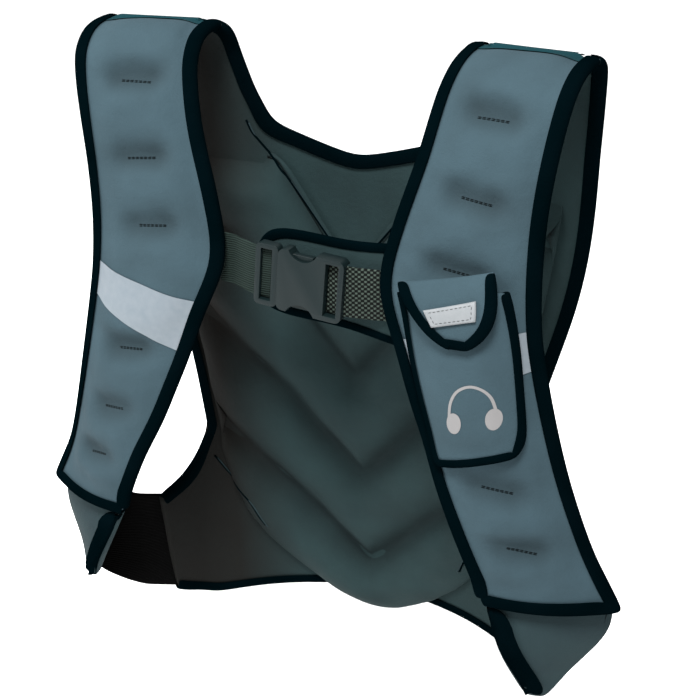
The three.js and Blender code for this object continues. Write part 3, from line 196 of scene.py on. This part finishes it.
def wovenMaterial():
    g = Graph("webbing_woven")
    x, _, z = g.axes()
    u = (x * (2 * math.pi / weave["across"])).sin()
    v = (z * (2 * math.pi / weave["along"])).sin()
    knot = ((u * v) * 1.6 + 0.25).clamp()
    colour = g.mix(knot, rgb(weave["shade"]), rgb(weave["base"]))
    g.bump(knot + g.noise(1800) * 0.2, 0.0006)
    return g.set(Base_Color=colour, Roughness=0.85, Specular_IOR_Level=0.05)


materials["webbingWoven"] = wovenMaterial()


def plasticMaterial():
    g = Graph("plastic")
    g.bump(g.noise(1400, 2), 0.00005)
    rough = g.noise(300) * 0.15 + 0.36
    return g.set(Base_Color=rgb("081112"), Roughness=rough, Specular_IOR_Level=0.1)


materials["plastic"] = plasticMaterial()


def reflectorMaterial(name, low, high):
    g = Graph(name)
    colour = g.mix(g.noise(160, 3), rgb(low), rgb(high))
    g.bump(g.noise(3000, 1), 0.00004)
    return g.set(Base_Color=colour, Roughness=0.5, Specular_IOR_Level=0.3)


materials["reflector"] = reflectorMaterial("reflector", "454E54", "53595E")
materials["brightReflector"] = reflectorMaterial("bright_reflector", "525658", "5F6163")


def plainMaterial(name, colour, roughness):
    return Graph(name).set(Base_Color=rgb(colour), Roughness=roughness, Specular_IOR_Level=0.05)


materials["darkThread"] = plainMaterial("dark_thread", "020506", 0.9)
materials["print"] = plainMaterial("print", "5E5D5D", 0.8)


# Pieces


# A CAD node's solid with its doubles merged
def mergedCopy(node):
    made = bmesh.new()
    made.from_mesh(nodes[node].data)
    bmesh.ops.remove_doubles(made, verts=made.verts, dist=0.00002)
    bmesh.ops.recalc_face_normals(made, faces=made.faces)
    return made


def toQuads(made):
    bmesh.ops.join_triangles(
        made,
        faces=made.faces,
        angle_face_threshold=math.pi,
        angle_shape_threshold=math.pi,
        cmp_seam=False,
        cmp_sharp=False,
        cmp_uvs=False,
        cmp_vcols=False,
        cmp_materials=False,
    )


def addObject(name, made, material):
    mesh = bpy.data.meshes.new(name)
    made.to_mesh(mesh)
    made.free()
    mesh.shade_smooth()
    mesh.materials.append(materials[material])
    made = bpy.data.objects.new(name, mesh)
    bpy.context.scene.collection.objects.link(made)
    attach(made, "root")
    return made


def applyModifiers(piece):
    graph = bpy.context.evaluated_depsgraph_get()
    mesh = bpy.data.meshes.new_from_object(piece.evaluated_get(graph))
    old = piece.data
    piece.modifiers.clear()
    piece.data = mesh
    bpy.data.meshes.remove(old)
    mesh.name = piece.name
    mesh.shade_smooth()


def subdivide(piece, levels):
    rounder = piece.modifiers.new("rounder", "SUBSURF")
    rounder.levels = levels
    rounder.render_levels = levels
    rounder.boundary_smooth = "PRESERVE_CORNERS"
    applyModifiers(piece)


# Of a strap and its bindings: the corners of the hem, and of the seam end, behind seamFront
heldCorners = {"angle": 0.4, "amount": 0.22, "seamFront": -0.012}


# Keeps edges over an angle where they are, or only those below a height and at the shoulder seam
def crease(made, angle, amount=1.0, below=None):
    layers = made.edges.layers.float
    layer = layers.get("crease_edge") or layers.new("crease_edge")
    for edge in made.edges:
        if below is not None:
            atHem = max(v.co.z for v in edge.verts) < below
            if not atHem and min(v.co.y for v in edge.verts) < heldCorners["seamFront"]:
                continue
        if len(edge.link_faces) == 2 and edge.calc_face_angle() > angle:
            edge[layer] = amount


# A CAD node's copy with round edges, which takes its place
def softCopy(node, material, slot, levels, name=None, rim=None, below=None):
    made = mergedCopy(node)
    toQuads(made)
    if rim:
        crease(made, rim)
    if below:
        crease(made, heldCorners["angle"], heldCorners["amount"], below)
    piece = addObject(name or f"{node}_soft", made, material)
    subdivide(piece, levels)
    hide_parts(node)
    return piece


# Moves each vertex along its normal by an amount that depends on its place, and marks how much
# painted shade darkens the hollows
def displace(piece, amountAt):
    mesh = piece.data
    hollowShade = mesh.attributes.new("hollowShade", "FLOAT", "POINT")
    normals = [v.normal.copy() for v in mesh.vertices]
    for k, (vertex, normal) in enumerate(zip(mesh.vertices, normals)):
        amount, depth = amountAt(vertex.co, normal)
        vertex.co += normal * amount
        hollowShade.data[k].value = depth
    mesh.update()


def surfaceOf(piece):
    return BVHTree.FromObject(piece, bpy.context.evaluated_depsgraph_get())


def stretchedNoise(place, scale, seed):
    x, y, z = scale
    return noise.noise(Vector((place.x / x + seed, place.y / y, place.z / z)))


# Straps

tackLook = {
    "places": [
        (0.133, -0.058, -0.027),
        (0.127, -0.066, -0.083),
        (0.119, -0.066, -0.133),
        (0.140, -0.079, -0.231),
        (0.157, -0.079, -0.284),
        (0.178, -0.080, -0.329),
    ],
    "length": 0.023,
    "tilt": 0.12,  # radians, the outer end lower
    "dent": 0.0072,
    "reach": 0.0105,
    "above": 0.001,  # the dent's middle over the thread
    "spread": (0.8, 0.6),  # how much the distances beyond the ends and in depth count
    "dashes": 7,
    "dash": (0.08, 0.92),  # the share of its room that each one fills
    "rows": (-0.0005, 0.0005),
    "thread": 0.00042,  # radius
}


def tackPlaces(sign):
    return [Vector((sign * x, y, z)) for x, y, z in tackLook["places"]]


# Moves a piece's faces outwards
def swell(piece, amount):
    mesh = piece.data
    for vertex, normal in zip(mesh.vertices, [v.normal.copy() for v in mesh.vertices]):
        vertex.co += normal * amount
    mesh.update()


strapLook = {
    "front": Vector((0, -0.78, 0.62)),  # the outer side looks this way, over the shoulder and down
    "waves": [(0.0016, (0.045, 0.05, 0.03), 7), (0.0006, (0.02, 0.03, 0.011), 17)],
    "free": (0.001, 0.009),  # from the bindings, where the waves and tacks start and are full
    "inset": 0.0004,
    "rear": 0.05,  # a normal nearer to the front than this belongs to the outer side
    "rearWaves": 0.5,
    # share of painted shade in the tack dents
    "shade": 0.75,
    "hem": -0.335,  # the corners below it are held
    "bindingSwell": 0.0004,
    "bindingDrop": 0.005,  # of the inner binding's lower end, which meets the hem's
    "bindingReach": (0.009, 0.003),
}


def strapShape(sign, rims):
    tacks = tackPlaces(sign)

    def amountAt(place, normal):
        amount = 0
        for size, scale, seed in strapLook["waves"]:
            amount += size * stretchedNoise(place, scale, seed + sign)
        near = min(tree.find_nearest(place)[3] for tree in rims)
        free = share(near, *strapLook["free"])
        if normal.dot(strapLook["front"]) < strapLook["rear"]:
            return strapLook["rearWaves"] * free * amount, 0
        depth = 0
        for tack in tacks:
            off = place - tack
            off.z += tackLook["tilt"] * sign * off.x
            sideways, inwards = tackLook["spread"]
            beside = sideways * max(abs(off.x) - tackLook["length"] / 2, 0)
            far = math.hypot(beside, math.hypot(inwards * off.y, off.z - tackLook["above"]))
            depth += math.exp(-((far / tackLook["reach"]) ** 2))
        amount = free * (amount - tackLook["dent"] * depth) - strapLook["inset"]
        return amount, strapLook["shade"] * depth

    return amountAt


straps = {}
for side, sign in sides.items():
    rims = []
    for stem in ("medial_binding", "lateral_binding"):
        edging = softCopy(f"{stem}_{side}", "binding", "binding", 2, below=strapLook["hem"])
        swell(edging, strapLook["bindingSwell"])
        if stem == "medial_binding":
            lowest = min(v.co.z for v in edging.data.vertices)
            start, end = strapLook["bindingReach"]
            for vertex in edging.data.vertices:
                down = share(vertex.co.z, lowest + start, lowest + end)
                vertex.co.z -= strapLook["bindingDrop"] * down
        rims.append(surfaceOf(edging))
    strap = softCopy(
        f"front_panel_{side}", "neoprene", "neoprene", 3, f"strap_{side}", below=strapLook["hem"]
    )
    displace(strap, strapShape(sign, rims))
    straps[side] = strap
print("straps")

# Back, its weight pad and the side pieces

sharpRim = 1.2  # radians: edges of a flat piece that stay where they are
back = softCopy("back_panel", "lining", "lining", 2, "back_cloth", rim=sharpRim)
outer = back.data.attributes.new("outer", "FLOAT", "POINT")
for vertex, mark in zip(back.data.vertices, outer.data):
    mark.value = 1 if vertex.normal.y > 0 else 0

chevrons = {
    "lines": [
        [(0, 0.182), (0.062, 0.096), (0.164, 0.101)],
        [(0, 0.279), (0.064, 0.203), (0.162, 0.134)],
        [(0, 0.382), (0.064, 0.302), (0.149, 0.228)],
        [(0, 0.477), (0.068, 0.403), (0.130, 0.340)],
    ],
    "depth": 0.0075,
    "reach": 0.0085,
    "power": 1.4,
    # share of painted shade in the grooves
    "shade": 0.8,
    "rear": 0.3,  # a normal further back than this belongs to the side under the back's cloth
    "round": 0.004,  # of each point, on the middle line
    "top": 0.002,  # height that the drops are counted from
    "waves": [(0.0012, (0.022, 0.05, 0.045), 5), (0.0014, (0.05, 0.05, 0.02), 9)],
    "flatDrop": (-0.127, -0.105),  # the upper side corners lie flat under the yoke
    "flatAcross": (0.060, 0.078),
    "flatLift": 0.0008,
}


# Distance from a line of points
def offLine(x, z, line):
    best = 1
    for (x0, z0), (x1, z1) in zip(line, line[1:]):
        ax, az = x1 - x0, z1 - z0
        t = min(max(((x - x0) * ax + (z - z0) * az) / (ax * ax + az * az), 0), 1)
        best = min(best, math.hypot(x - x0 - t * ax, z - z0 - t * az))
    return best


def padShape(place, normal):
    if normal.y > chevrons["rear"]:
        return 0, 0
    x, drop = math.hypot(place.x, chevrons["round"]), chevrons["top"] - place.z
    depth = 0
    for line in chevrons["lines"]:
        depth += math.exp(-((offLine(x, drop, line) / chevrons["reach"]) ** chevrons["power"]))
    depth = min(depth, 1)
    amount = 0
    for size, scale, seed in chevrons["waves"]:
        amount += size * stretchedNoise(place, scale, seed)
    return amount - chevrons["depth"] * depth, chevrons["shade"] * depth


# Where a line from the front through (x, z) meets a surface
def onSurface(tree, x, z):
    hit, normal, *_ = tree.ray_cast(Vector((x, -1, z)), Vector((0, 1, 0)))
    return hit, normal


pad = softCopy("weight_pad", "lining", "lining", 3, "quilted_pad")
displace(pad, padShape)

backTree = surfaceOf(back)
for vertex in pad.data.vertices:
    x, y, z = vertex.co
    high = share(z, *chevrons["flatDrop"]) * share(abs(x), *chevrons["flatAcross"])
    hit, _ = onSurface(backTree, x, z)
    if high > 0 and hit:
        vertex.co.y += high * max(hit.y + chevrons["flatLift"] - y, 0)
pad.data.update()

neoprene = {"material": "neoprene", "slot": "neoprene", "levels": 3}
lining = {"material": "lining", "slot": "lining", "levels": 3}
binding = {"material": "binding", "slot": "binding", "levels": 2}
softPieces = {
    # the side tabs' neoprene is darkened as painted shade
    "side_tab": {**neoprene, "material": "shadedNeoprene", "rim": sharpRim},
    "side_elastic": {"material": "elastic", "slot": "elastic", "levels": 3, "rim": sharpRim},
    "tab_binding": binding,
    "armhole_binding": binding,
    "shoulder_tape": {"material": "tape", "slot": "tape", "levels": 2, "rim": sharpRim},
}
soft = {}
for stem, look in softPieces.items():
    for side in sides:
        soft[f"{stem}_{side}"] = softCopy(f"{stem}_{side}", **look)

closure = {
    "inner": (0.178, 0.162),  # where the elastic goes under the side wing
    "innerMove": Vector((-0.003, 0.007, 0)),
    "outer": (0.205, 0.227),  # and under the tab
    "outerMove": Vector((0.002, -0.011, 0)),
    "bindingReach": 2.1,  # how many times further the tab's binding reaches over it
    "bindingSlice": 0.006,
    "topReach": 0.014,
    "topMove": Vector((-0.002, 0, 0.007)),
}
for side, sign in sides.items():
    mirror = Vector((sign, 1, 1))
    for vertex in soft[f"side_elastic_{side}"].data.vertices:
        vertex.co += share(abs(vertex.co.x), *closure["inner"]) * closure["innerMove"] * mirror
        vertex.co += share(abs(vertex.co.x), *closure["outer"]) * closure["outerMove"] * mirror

for side, sign in sides.items():
    edging = soft[f"tab_binding_{side}"].data
    tree = surfaceOf(soft[f"side_tab_{side}"])
    places = [v.co.copy() for v in edging.vertices]
    top = max(place.z for place in places)
    for vertex, place in zip(edging.vertices, places):
        beside = [other for other in places if abs(other.z - place.z) < closure["bindingSlice"]]
        inwards = place - min(beside, key=lambda other: other.x * sign)
        _, normal, *_ = tree.find_nearest(place)
        inwards -= inwards.dot(normal) * normal
        inwards.z = 0
        raised = share(place.z, top - closure["topReach"], top)
        vertex.co += (closure["bindingReach"] - 1) * inwards
        vertex.co += raised * closure["topMove"] * Vector((sign, 1, 1))
    edging.update()

singlePieces = {
    "neck_binding": binding,
    "hem_binding": binding,
    "sternum_pad": lining,
    "sternum_pad_binding": binding,
    "pocket": neoprene,
    "pocket_binding": binding,
    "pocket_flap": {**neoprene, "rim": sharpRim},
    "flap_binding": binding,
    "flap_reflector": {
        "material": "brightReflector", "slot": "reflector", "levels": 2, "rim": sharpRim,
    },
}
for node, look in singlePieces.items():
    soft[node] = softCopy(node, **look)

# The flap's sides bulge between its seam and its tip
flap = {
    "top": -0.124,
    "tip": -0.184,
    "middle": 0.119,
    "bulge": 0.24,
    "stitched": [(0.1106, -0.1526), (0.1338, -0.1440), (0.1344, -0.1522), (0.1146, -0.1589)],
}


def bulged(x, z):
    down = share(z, flap["top"], flap["tip"])
    return x + flap["bulge"] * math.sin(math.pi * down) * (x - flap["middle"])


for node in ("pocket_flap", "flap_binding", "flap_reflector"):
    for vertex in soft[node].data.vertices:
        vertex.co.x = bulged(vertex.co.x, vertex.co.z)
    soft[node].data.update()
print("cloth pieces")

# Sternum strap

buckle = {"flat": 0.03, "sharp": 0.7, "edge": 0.9 * mm, "segments": 3}
webbing = {"edge": 0.6 * mm, "segments": 2}


# A CAD node's copy with small round edges, which takes its place
def hardCopy(node, name):
    made = mergedCopy(node)
    bmesh.ops.dissolve_limit(
        made, angle_limit=buckle["flat"], verts=made.verts, edges=made.edges, delimit=set()
    )
    joined = [edge for edge in made.edges if len(edge.link_faces) == 2]
    bmesh.ops.bevel(
        made,
        geom=[edge for edge in joined if edge.calc_face_angle() > buckle["sharp"]],
        offset=buckle["edge"],
        offset_type="OFFSET",
        segments=buckle["segments"],
        profile=0.5,
        affect="EDGES",
        material=-1,
        clamp_overlap=True,
    )
    piece = addObject(name, made, "plastic")
    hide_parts(node)
    return piece


hardCopy("buckle_plug", "plug")
hardCopy("buckle_socket", "socket")


def webbingCopy(side, material):
    made = mergedCopy(f"sternum_webbing_{side}")
    toQuads(made)
    piece = addObject(f"webbing_{side}", made, material)
    edges = piece.modifiers.new("edges", "BEVEL")
    edges.width = webbing["edge"]
    edges.segments = webbing["segments"]
    applyModifiers(piece)
    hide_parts(f"sternum_webbing_{side}")


webbingCopy("right", "webbingRibbed")
webbingCopy("left", "webbingWoven")
print("sternum strap")

# Threads, tapes, seams and the print lie on the surfaces


def addDash(made, start, end, normal, radius):
    along = end - start
    if along.length < 1e-6:
        return
    middle = (start + end) / 2
    axis = along.normalized()
    side = normal.cross(axis).normalized()
    up = axis.cross(side)
    turn = Matrix((axis, side, up)).transposed().to_4x4()
    grow = Matrix.Diagonal((along.length / 2 + radius, radius, radius, 1))
    bmesh.ops.create_icosphere(
        made, subdivisions=1, radius=1, matrix=Matrix.Translation(middle) @ turn @ grow
    )


# The value of a smooth curve from b to c, which comes from a and goes on to d
def curveAt(a, b, c, d, t):
    bend = 2 * a - 5 * b + 4 * c - d + t * (3 * (b - c) + d - a)
    return b + 0.5 * t * (c - a + t * bend)


# A smooth line through the points
def smoothLine(points, per):
    ends = [points[0], *points, points[-1]]
    line = []
    for a, b, c, d in zip(ends, ends[1:], ends[2:], ends[3:]):
        for k in range(per):
            t = k / per
            line.append(tuple(curveAt(a[n], b[n], c[n], d[n], t) for n in (0, 1)))
    return [*line, points[-1]]


stitch = {"length": 0.0022, "gap": 0.0012, "radius": 0.00018, "step": 0.0005}


# Dashes along a line of (x, z) points
def stitchLine(made, tree, line):
    points = []
    for (x0, z0), (x1, z1) in zip(line, line[1:]):
        count = max(int(math.hypot(x1 - x0, z1 - z0) / stitch["step"]), 1)
        for k in range(count):
            points.append((x0 + (x1 - x0) * k / count, z0 + (z1 - z0) * k / count))
    per = int((stitch["length"] + stitch["gap"]) / stitch["step"])
    dash = int(stitch["length"] / stitch["step"])
    for k in range(0, len(points) - dash, per):
        start, normal = onSurface(tree, *points[k])
        end, _ = onSurface(tree, *points[k + dash])
        if start and end and (end - start).length < 2 * stitch["length"]:
            lift = normal * stitch["radius"] * 0.5
            addDash(made, start + lift, end + lift, normal, stitch["radius"])


tackThread = bmesh.new()
for side, sign in sides.items():
    tree = surfaceOf(straps[side])
    for tack in tackPlaces(sign):
        base, outward, *_ = tree.find_nearest(tack)
        across = Vector((1, 0, -sign * tackLook["tilt"]))
        across = (across - across.dot(outward) * outward).normalized()
        aside = outward.cross(across)
        for row in tackLook["rows"]:
            for k in range(tackLook["dashes"]):
                points = []
                for part in tackLook["dash"]:
                    along = ((k + part) / tackLook["dashes"] - 0.5) * tackLook["length"]
                    points.append(base + along * across + row * aside)
                (start, normal, *_), (end, *_) = [tree.find_nearest(point) for point in points]
                addDash(tackThread, start, end, normal, tackLook["thread"])
addObject("tack_thread", tackThread, "darkThread")


# A grid whose vertices go where placeAt says for shares of its two sides; the others are deleted
def laidGrid(made, columns, rows, placeAt):
    grid = bmesh.ops.create_grid(made, x_segments=columns, y_segments=rows, size=0.5)["verts"]
    lost, outward = [], Vector()
    for vertex in grid:
        hit, lift = placeAt(vertex.co.x + 0.5, vertex.co.y + 0.5)
        if hit:
            vertex.co = hit + lift
            outward += lift
        else:
            lost.append(vertex)
    faces = {face for vertex in grid for face in vertex.link_faces}
    gone = {face for vertex in lost for face in vertex.link_faces}
    faces -= gone
    bmesh.ops.delete(made, geom=lost, context="VERTS")
    for face in faces:
        face.normal_update()
    if sum((face.normal for face in faces), Vector()).dot(outward) < 0:
        bmesh.ops.reverse_faces(made, faces=list(faces))


# Shoulder tapes: the cloth over the seam, from the back to the strap's end

tape = {
    "across": (0.104, 0.184),
    "seam": (0.098, 0.178),  # where the seam is level with the rear edge, and its slant
    "rear": 0.0125,
    "width": 0.0185,
    "above": 0.1,  # height that the rays come down from
    "lowest": -0.02,
    "lift": 0.0007,
    "columns": 16,
    "rows": 8,
}
for side, sign in sides.items():
    trees = [surfaceOf(piece) for piece in (straps[side], back, soft[f"shoulder_tape_{side}"])]

    def tapePlace(u, v):
        x = tape["across"][0] + u * (tape["across"][1] - tape["across"][0])
        y = tape["rear"] - tape["seam"][1] * (x - tape["seam"][0]) - v * tape["width"]
        down = Vector((0, 0, -1))
        casts = [tree.ray_cast(Vector((sign * x, y, tape["above"])), down) for tree in trees]
        tops = [cast for cast in casts if cast[0] and cast[0].z > tape["lowest"]]
        if not tops:
            return None, None
        hit, normal, *_ = max(tops, key=lambda cast: cast[0].z)
        return hit, normal * tape["lift"]

    made = bmesh.new()
    laidGrid(made, tape["columns"], tape["rows"], tapePlace)
    addObject(f"seam_tape_{side}", made, "tape")

# Reflective bands, from binding to binding across each strap

bandLook = {
    "upper": [(0.076, -0.186), (0.179, -0.165)],
    "lower": [(0.090, -0.228), (0.180, -0.192)],
    "lift": 0.0006,
    "columns": 32,
    "rows": 8,
}
for side, sign in sides.items():
    tree = surfaceOf(straps[side])

    def bandPlace(u, v):
        ends = [
            [(1 - v) * high[n] + v * low[n] for n in (0, 1)]
            for high, low in zip(bandLook["upper"], bandLook["lower"])
        ]
        x, z = [(1 - u) * ends[0][n] + u * ends[1][n] for n in (0, 1)]
        hit, normal = onSurface(tree, sign * x, z)
        return (hit, normal * bandLook["lift"]) if hit else (None, None)

    made = bmesh.new()
    laidGrid(made, bandLook["columns"], bandLook["rows"], bandPlace)
    band = addObject(f"reflective_tape_{side}", made, "reflector")
    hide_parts(f"reflective_band_{side}")

# Seams of the back: a dark cord with a lighter one beside it

seams = {
    "yoke": [(0.0915, -0.0740), (0.0870, -0.0830), (0.0780, -0.0925), (0.0650, -0.1050),
             (0.0510, -0.1200), (0.0340, -0.1412), (0.0170, -0.1628), (0.0060, -0.1768)],
    "wing": [(0.1364, -0.3804), (0.1211, -0.4030), (0.1030, -0.4184), (0.0916, -0.4444)],
    "step": 8,
    "dark": {"shift": 0, "radius": 0.0009},
    "light": {"shift": -0.0022, "radius": 0.0007},
}
backTrees = [backTree, surfaceOf(pad)]


def nearestHit(x, z):
    hits = [hit for hit in (onSurface(tree, x, z)[0] for tree in backTrees) if hit]
    return min(hits, key=lambda hit: hit.y) if hits else None


# A thin cord along the points: a grid that is rolled up, sewn and closed
def addCord(made, points, radius, around=6):
    last = len(points) - 1
    grid = bmesh.ops.create_grid(made, x_segments=last, y_segments=around, size=0.5)["verts"]
    for vertex in grid:
        k = round((vertex.co.x + 0.5) * last)
        angle = 2 * math.pi * (vertex.co.y + 0.5)
        along = points[min(k + 1, last)] - points[max(k - 1, 0)]
        out = along.to_track_quat("Z", "Y") @ Vector((math.cos(angle), math.sin(angle), 0))
        vertex.co = points[k] + out * radius
    bmesh.ops.remove_doubles(made, verts=grid, dist=0.00001)
    bmesh.ops.holes_fill(made, edges=[edge for edge in made.edges if edge.is_boundary])


cords = {"dark": bmesh.new(), "light": bmesh.new()}
for sign in sides.values():
    for stem in ("yoke", "wing"):
        line = smoothLine([(sign * x, z) for x, z in seams[stem]], seams["step"])
        for tone, made in cords.items():
            shift = seams[tone]["shift"]
            hits = [nearestHit(x + sign * shift, z + shift) for x, z in line]
            addCord(made, [hit for hit in hits if hit], seams[tone]["radius"])
for made in cords.values():
    bmesh.ops.recalc_face_normals(made, faces=made.faces)
addObject("back_seams", cords["dark"], "binding")
addObject("back_seam_ridges", cords["light"], "shadedNeoprene")

# Stitches round the flap's reflector

corners = [(bulged(x, z), z) for x, z in flap["stitched"]]
flapThread = bmesh.new()
stitchLine(flapThread, surfaceOf(soft["flap_reflector"]), [*corners, corners[0]])
addObject("flap_thread", flapThread, "darkThread")

# Print on the pocket: a headband with two ear cups

icon = {
    "band": [(0.1255, -0.2265), (0.1262, -0.2150), (0.1305, -0.2058), (0.1385, -0.2012),
             (0.1468, -0.2028), (0.1530, -0.2085), (0.1568, -0.2185)],
    "bandWidth": 0.0020,
    "cups": [(0.1290, -0.2300, 0.0052, 0.0078), (0.1555, -0.2235, 0.0054, 0.0078)],
    "lift": 0.0003,
    "step": 6,
    "cupSides": 24,
}
printed = bmesh.new()
pocketTree = surfaceOf(soft["pocket"])
headband = smoothLine(icon["band"], icon["step"])


def printPlace(x, z):
    hit, _ = onSurface(pocketTree, x, z)
    return hit, Vector((0, -icon["lift"], 0))


def headbandPlace(u, v):
    last = len(headband) - 1
    k = round(u * last)
    (x0, z0), (x1, z1) = headband[max(k - 1, 0)], headband[min(k + 1, last)]
    side = (v - 0.5) * icon["bandWidth"] / math.hypot(x1 - x0, z1 - z0)
    x, z = headband[k]
    return printPlace(x - side * (z1 - z0), z + side * (x1 - x0))


laidGrid(printed, len(headband) - 1, 2, headbandPlace)
for x, z, halfWidth, halfHeight in icon["cups"]:
    made = bmesh.ops.create_circle(printed, cap_ends=True, radius=1, segments=icon["cupSides"])
    disc = made["verts"]
    inner = list(disc[0].link_faces)
    ring = bmesh.ops.inset_individual(printed, faces=inner, thickness=0.5)["faces"]
    centre = bmesh.ops.poke(printed, faces=inner)["verts"]
    for vertex in {*disc, *centre, *(v for face in ring for v in face.verts)}:
        hit, lift = printPlace(x + vertex.co.x * halfWidth, z + vertex.co.y * halfHeight)
        vertex.co = hit + lift
for face in printed.faces:
    face.normal_update()
bmesh.ops.reverse_faces(printed, faces=[face for face in printed.faces if face.normal.y > 0])
addObject("pocket_print", printed, "print")
print("thread and print")

# Stage, light and camera

stage = {"floorHeight": -0.62, "floorSize": 6, "world": 0.9}
floorMesh = bmesh.new()
bmesh.ops.create_grid(
    floorMesh,
    x_segments=1,
    y_segments=1,
    size=stage["floorSize"],
    matrix=Matrix.Translation((0, 0, stage["floorHeight"])),
)
floor = bpy.data.meshes.new("floor")
floorMesh.to_mesh(floor)
floorMesh.free()
floor.materials.append(plainMaterial("floor_white", "FFFFFF", 0.9))
floorObject = bpy.data.objects.new("floor", floor)
bpy.context.scene.collection.objects.link(floorObject)

world = bpy.data.worlds.new("world")
world.use_nodes = True
background = world.node_tree.nodes["Background"]
background.inputs["Color"].default_value = (1, 1, 1, 1)
background.inputs["Strength"].default_value = stage["world"]
bpy.context.scene.world = world


def addLight(name, place, target, size, power):
    data = bpy.data.lights.new(name, "AREA")
    data.shape = "SQUARE"
    data.size = size
    data.energy = power
    lamp = bpy.data.objects.new(name, data)
    lamp.location = place
    lamp.rotation_euler = (Vector(target) - Vector(place)).to_track_quat("-Z", "Y").to_euler()
    bpy.context.scene.collection.objects.link(lamp)


lights = {
    "key": {"place": (0.35, -1.5, 2.2), "target": (0, 0, -0.25), "size": 0.8, "power": 250},
    "fill": {"place": (-1.6, -1.5, 0.6), "target": (0, 0, -0.25), "size": 1.2, "power": 40},
    "side": {"place": (-1.4, -0.5, 0.9), "target": (0.15, 0, -0.2), "size": 0.8, "power": 28},
}
for name, look in lights.items():
    addLight(name, **look)

view = {
    "eye": (0.3823, -0.8369, 0.1784),
    # right, up and backwards
    "axes": [(0.9135, 0.4067, 0), (-0.168, 0.3773, 0.9107), (0.3704, -0.8320, 0.4131)],
    "lens": 66.93,
}
data = bpy.data.cameras.new("camera")
data.sensor_width = 36
data.lens = view["lens"]
data.clip_start = 0.01
camera = bpy.data.objects.new("camera", data)
turn = Matrix(view["axes"]).transposed().to_4x4()
camera.matrix_world = Matrix.Translation(view["eye"]) @ turn
bpy.context.scene.collection.objects.link(camera)
bpy.context.scene.camera = camera
bpy.context.scene.view_settings.view_transform = "Standard"
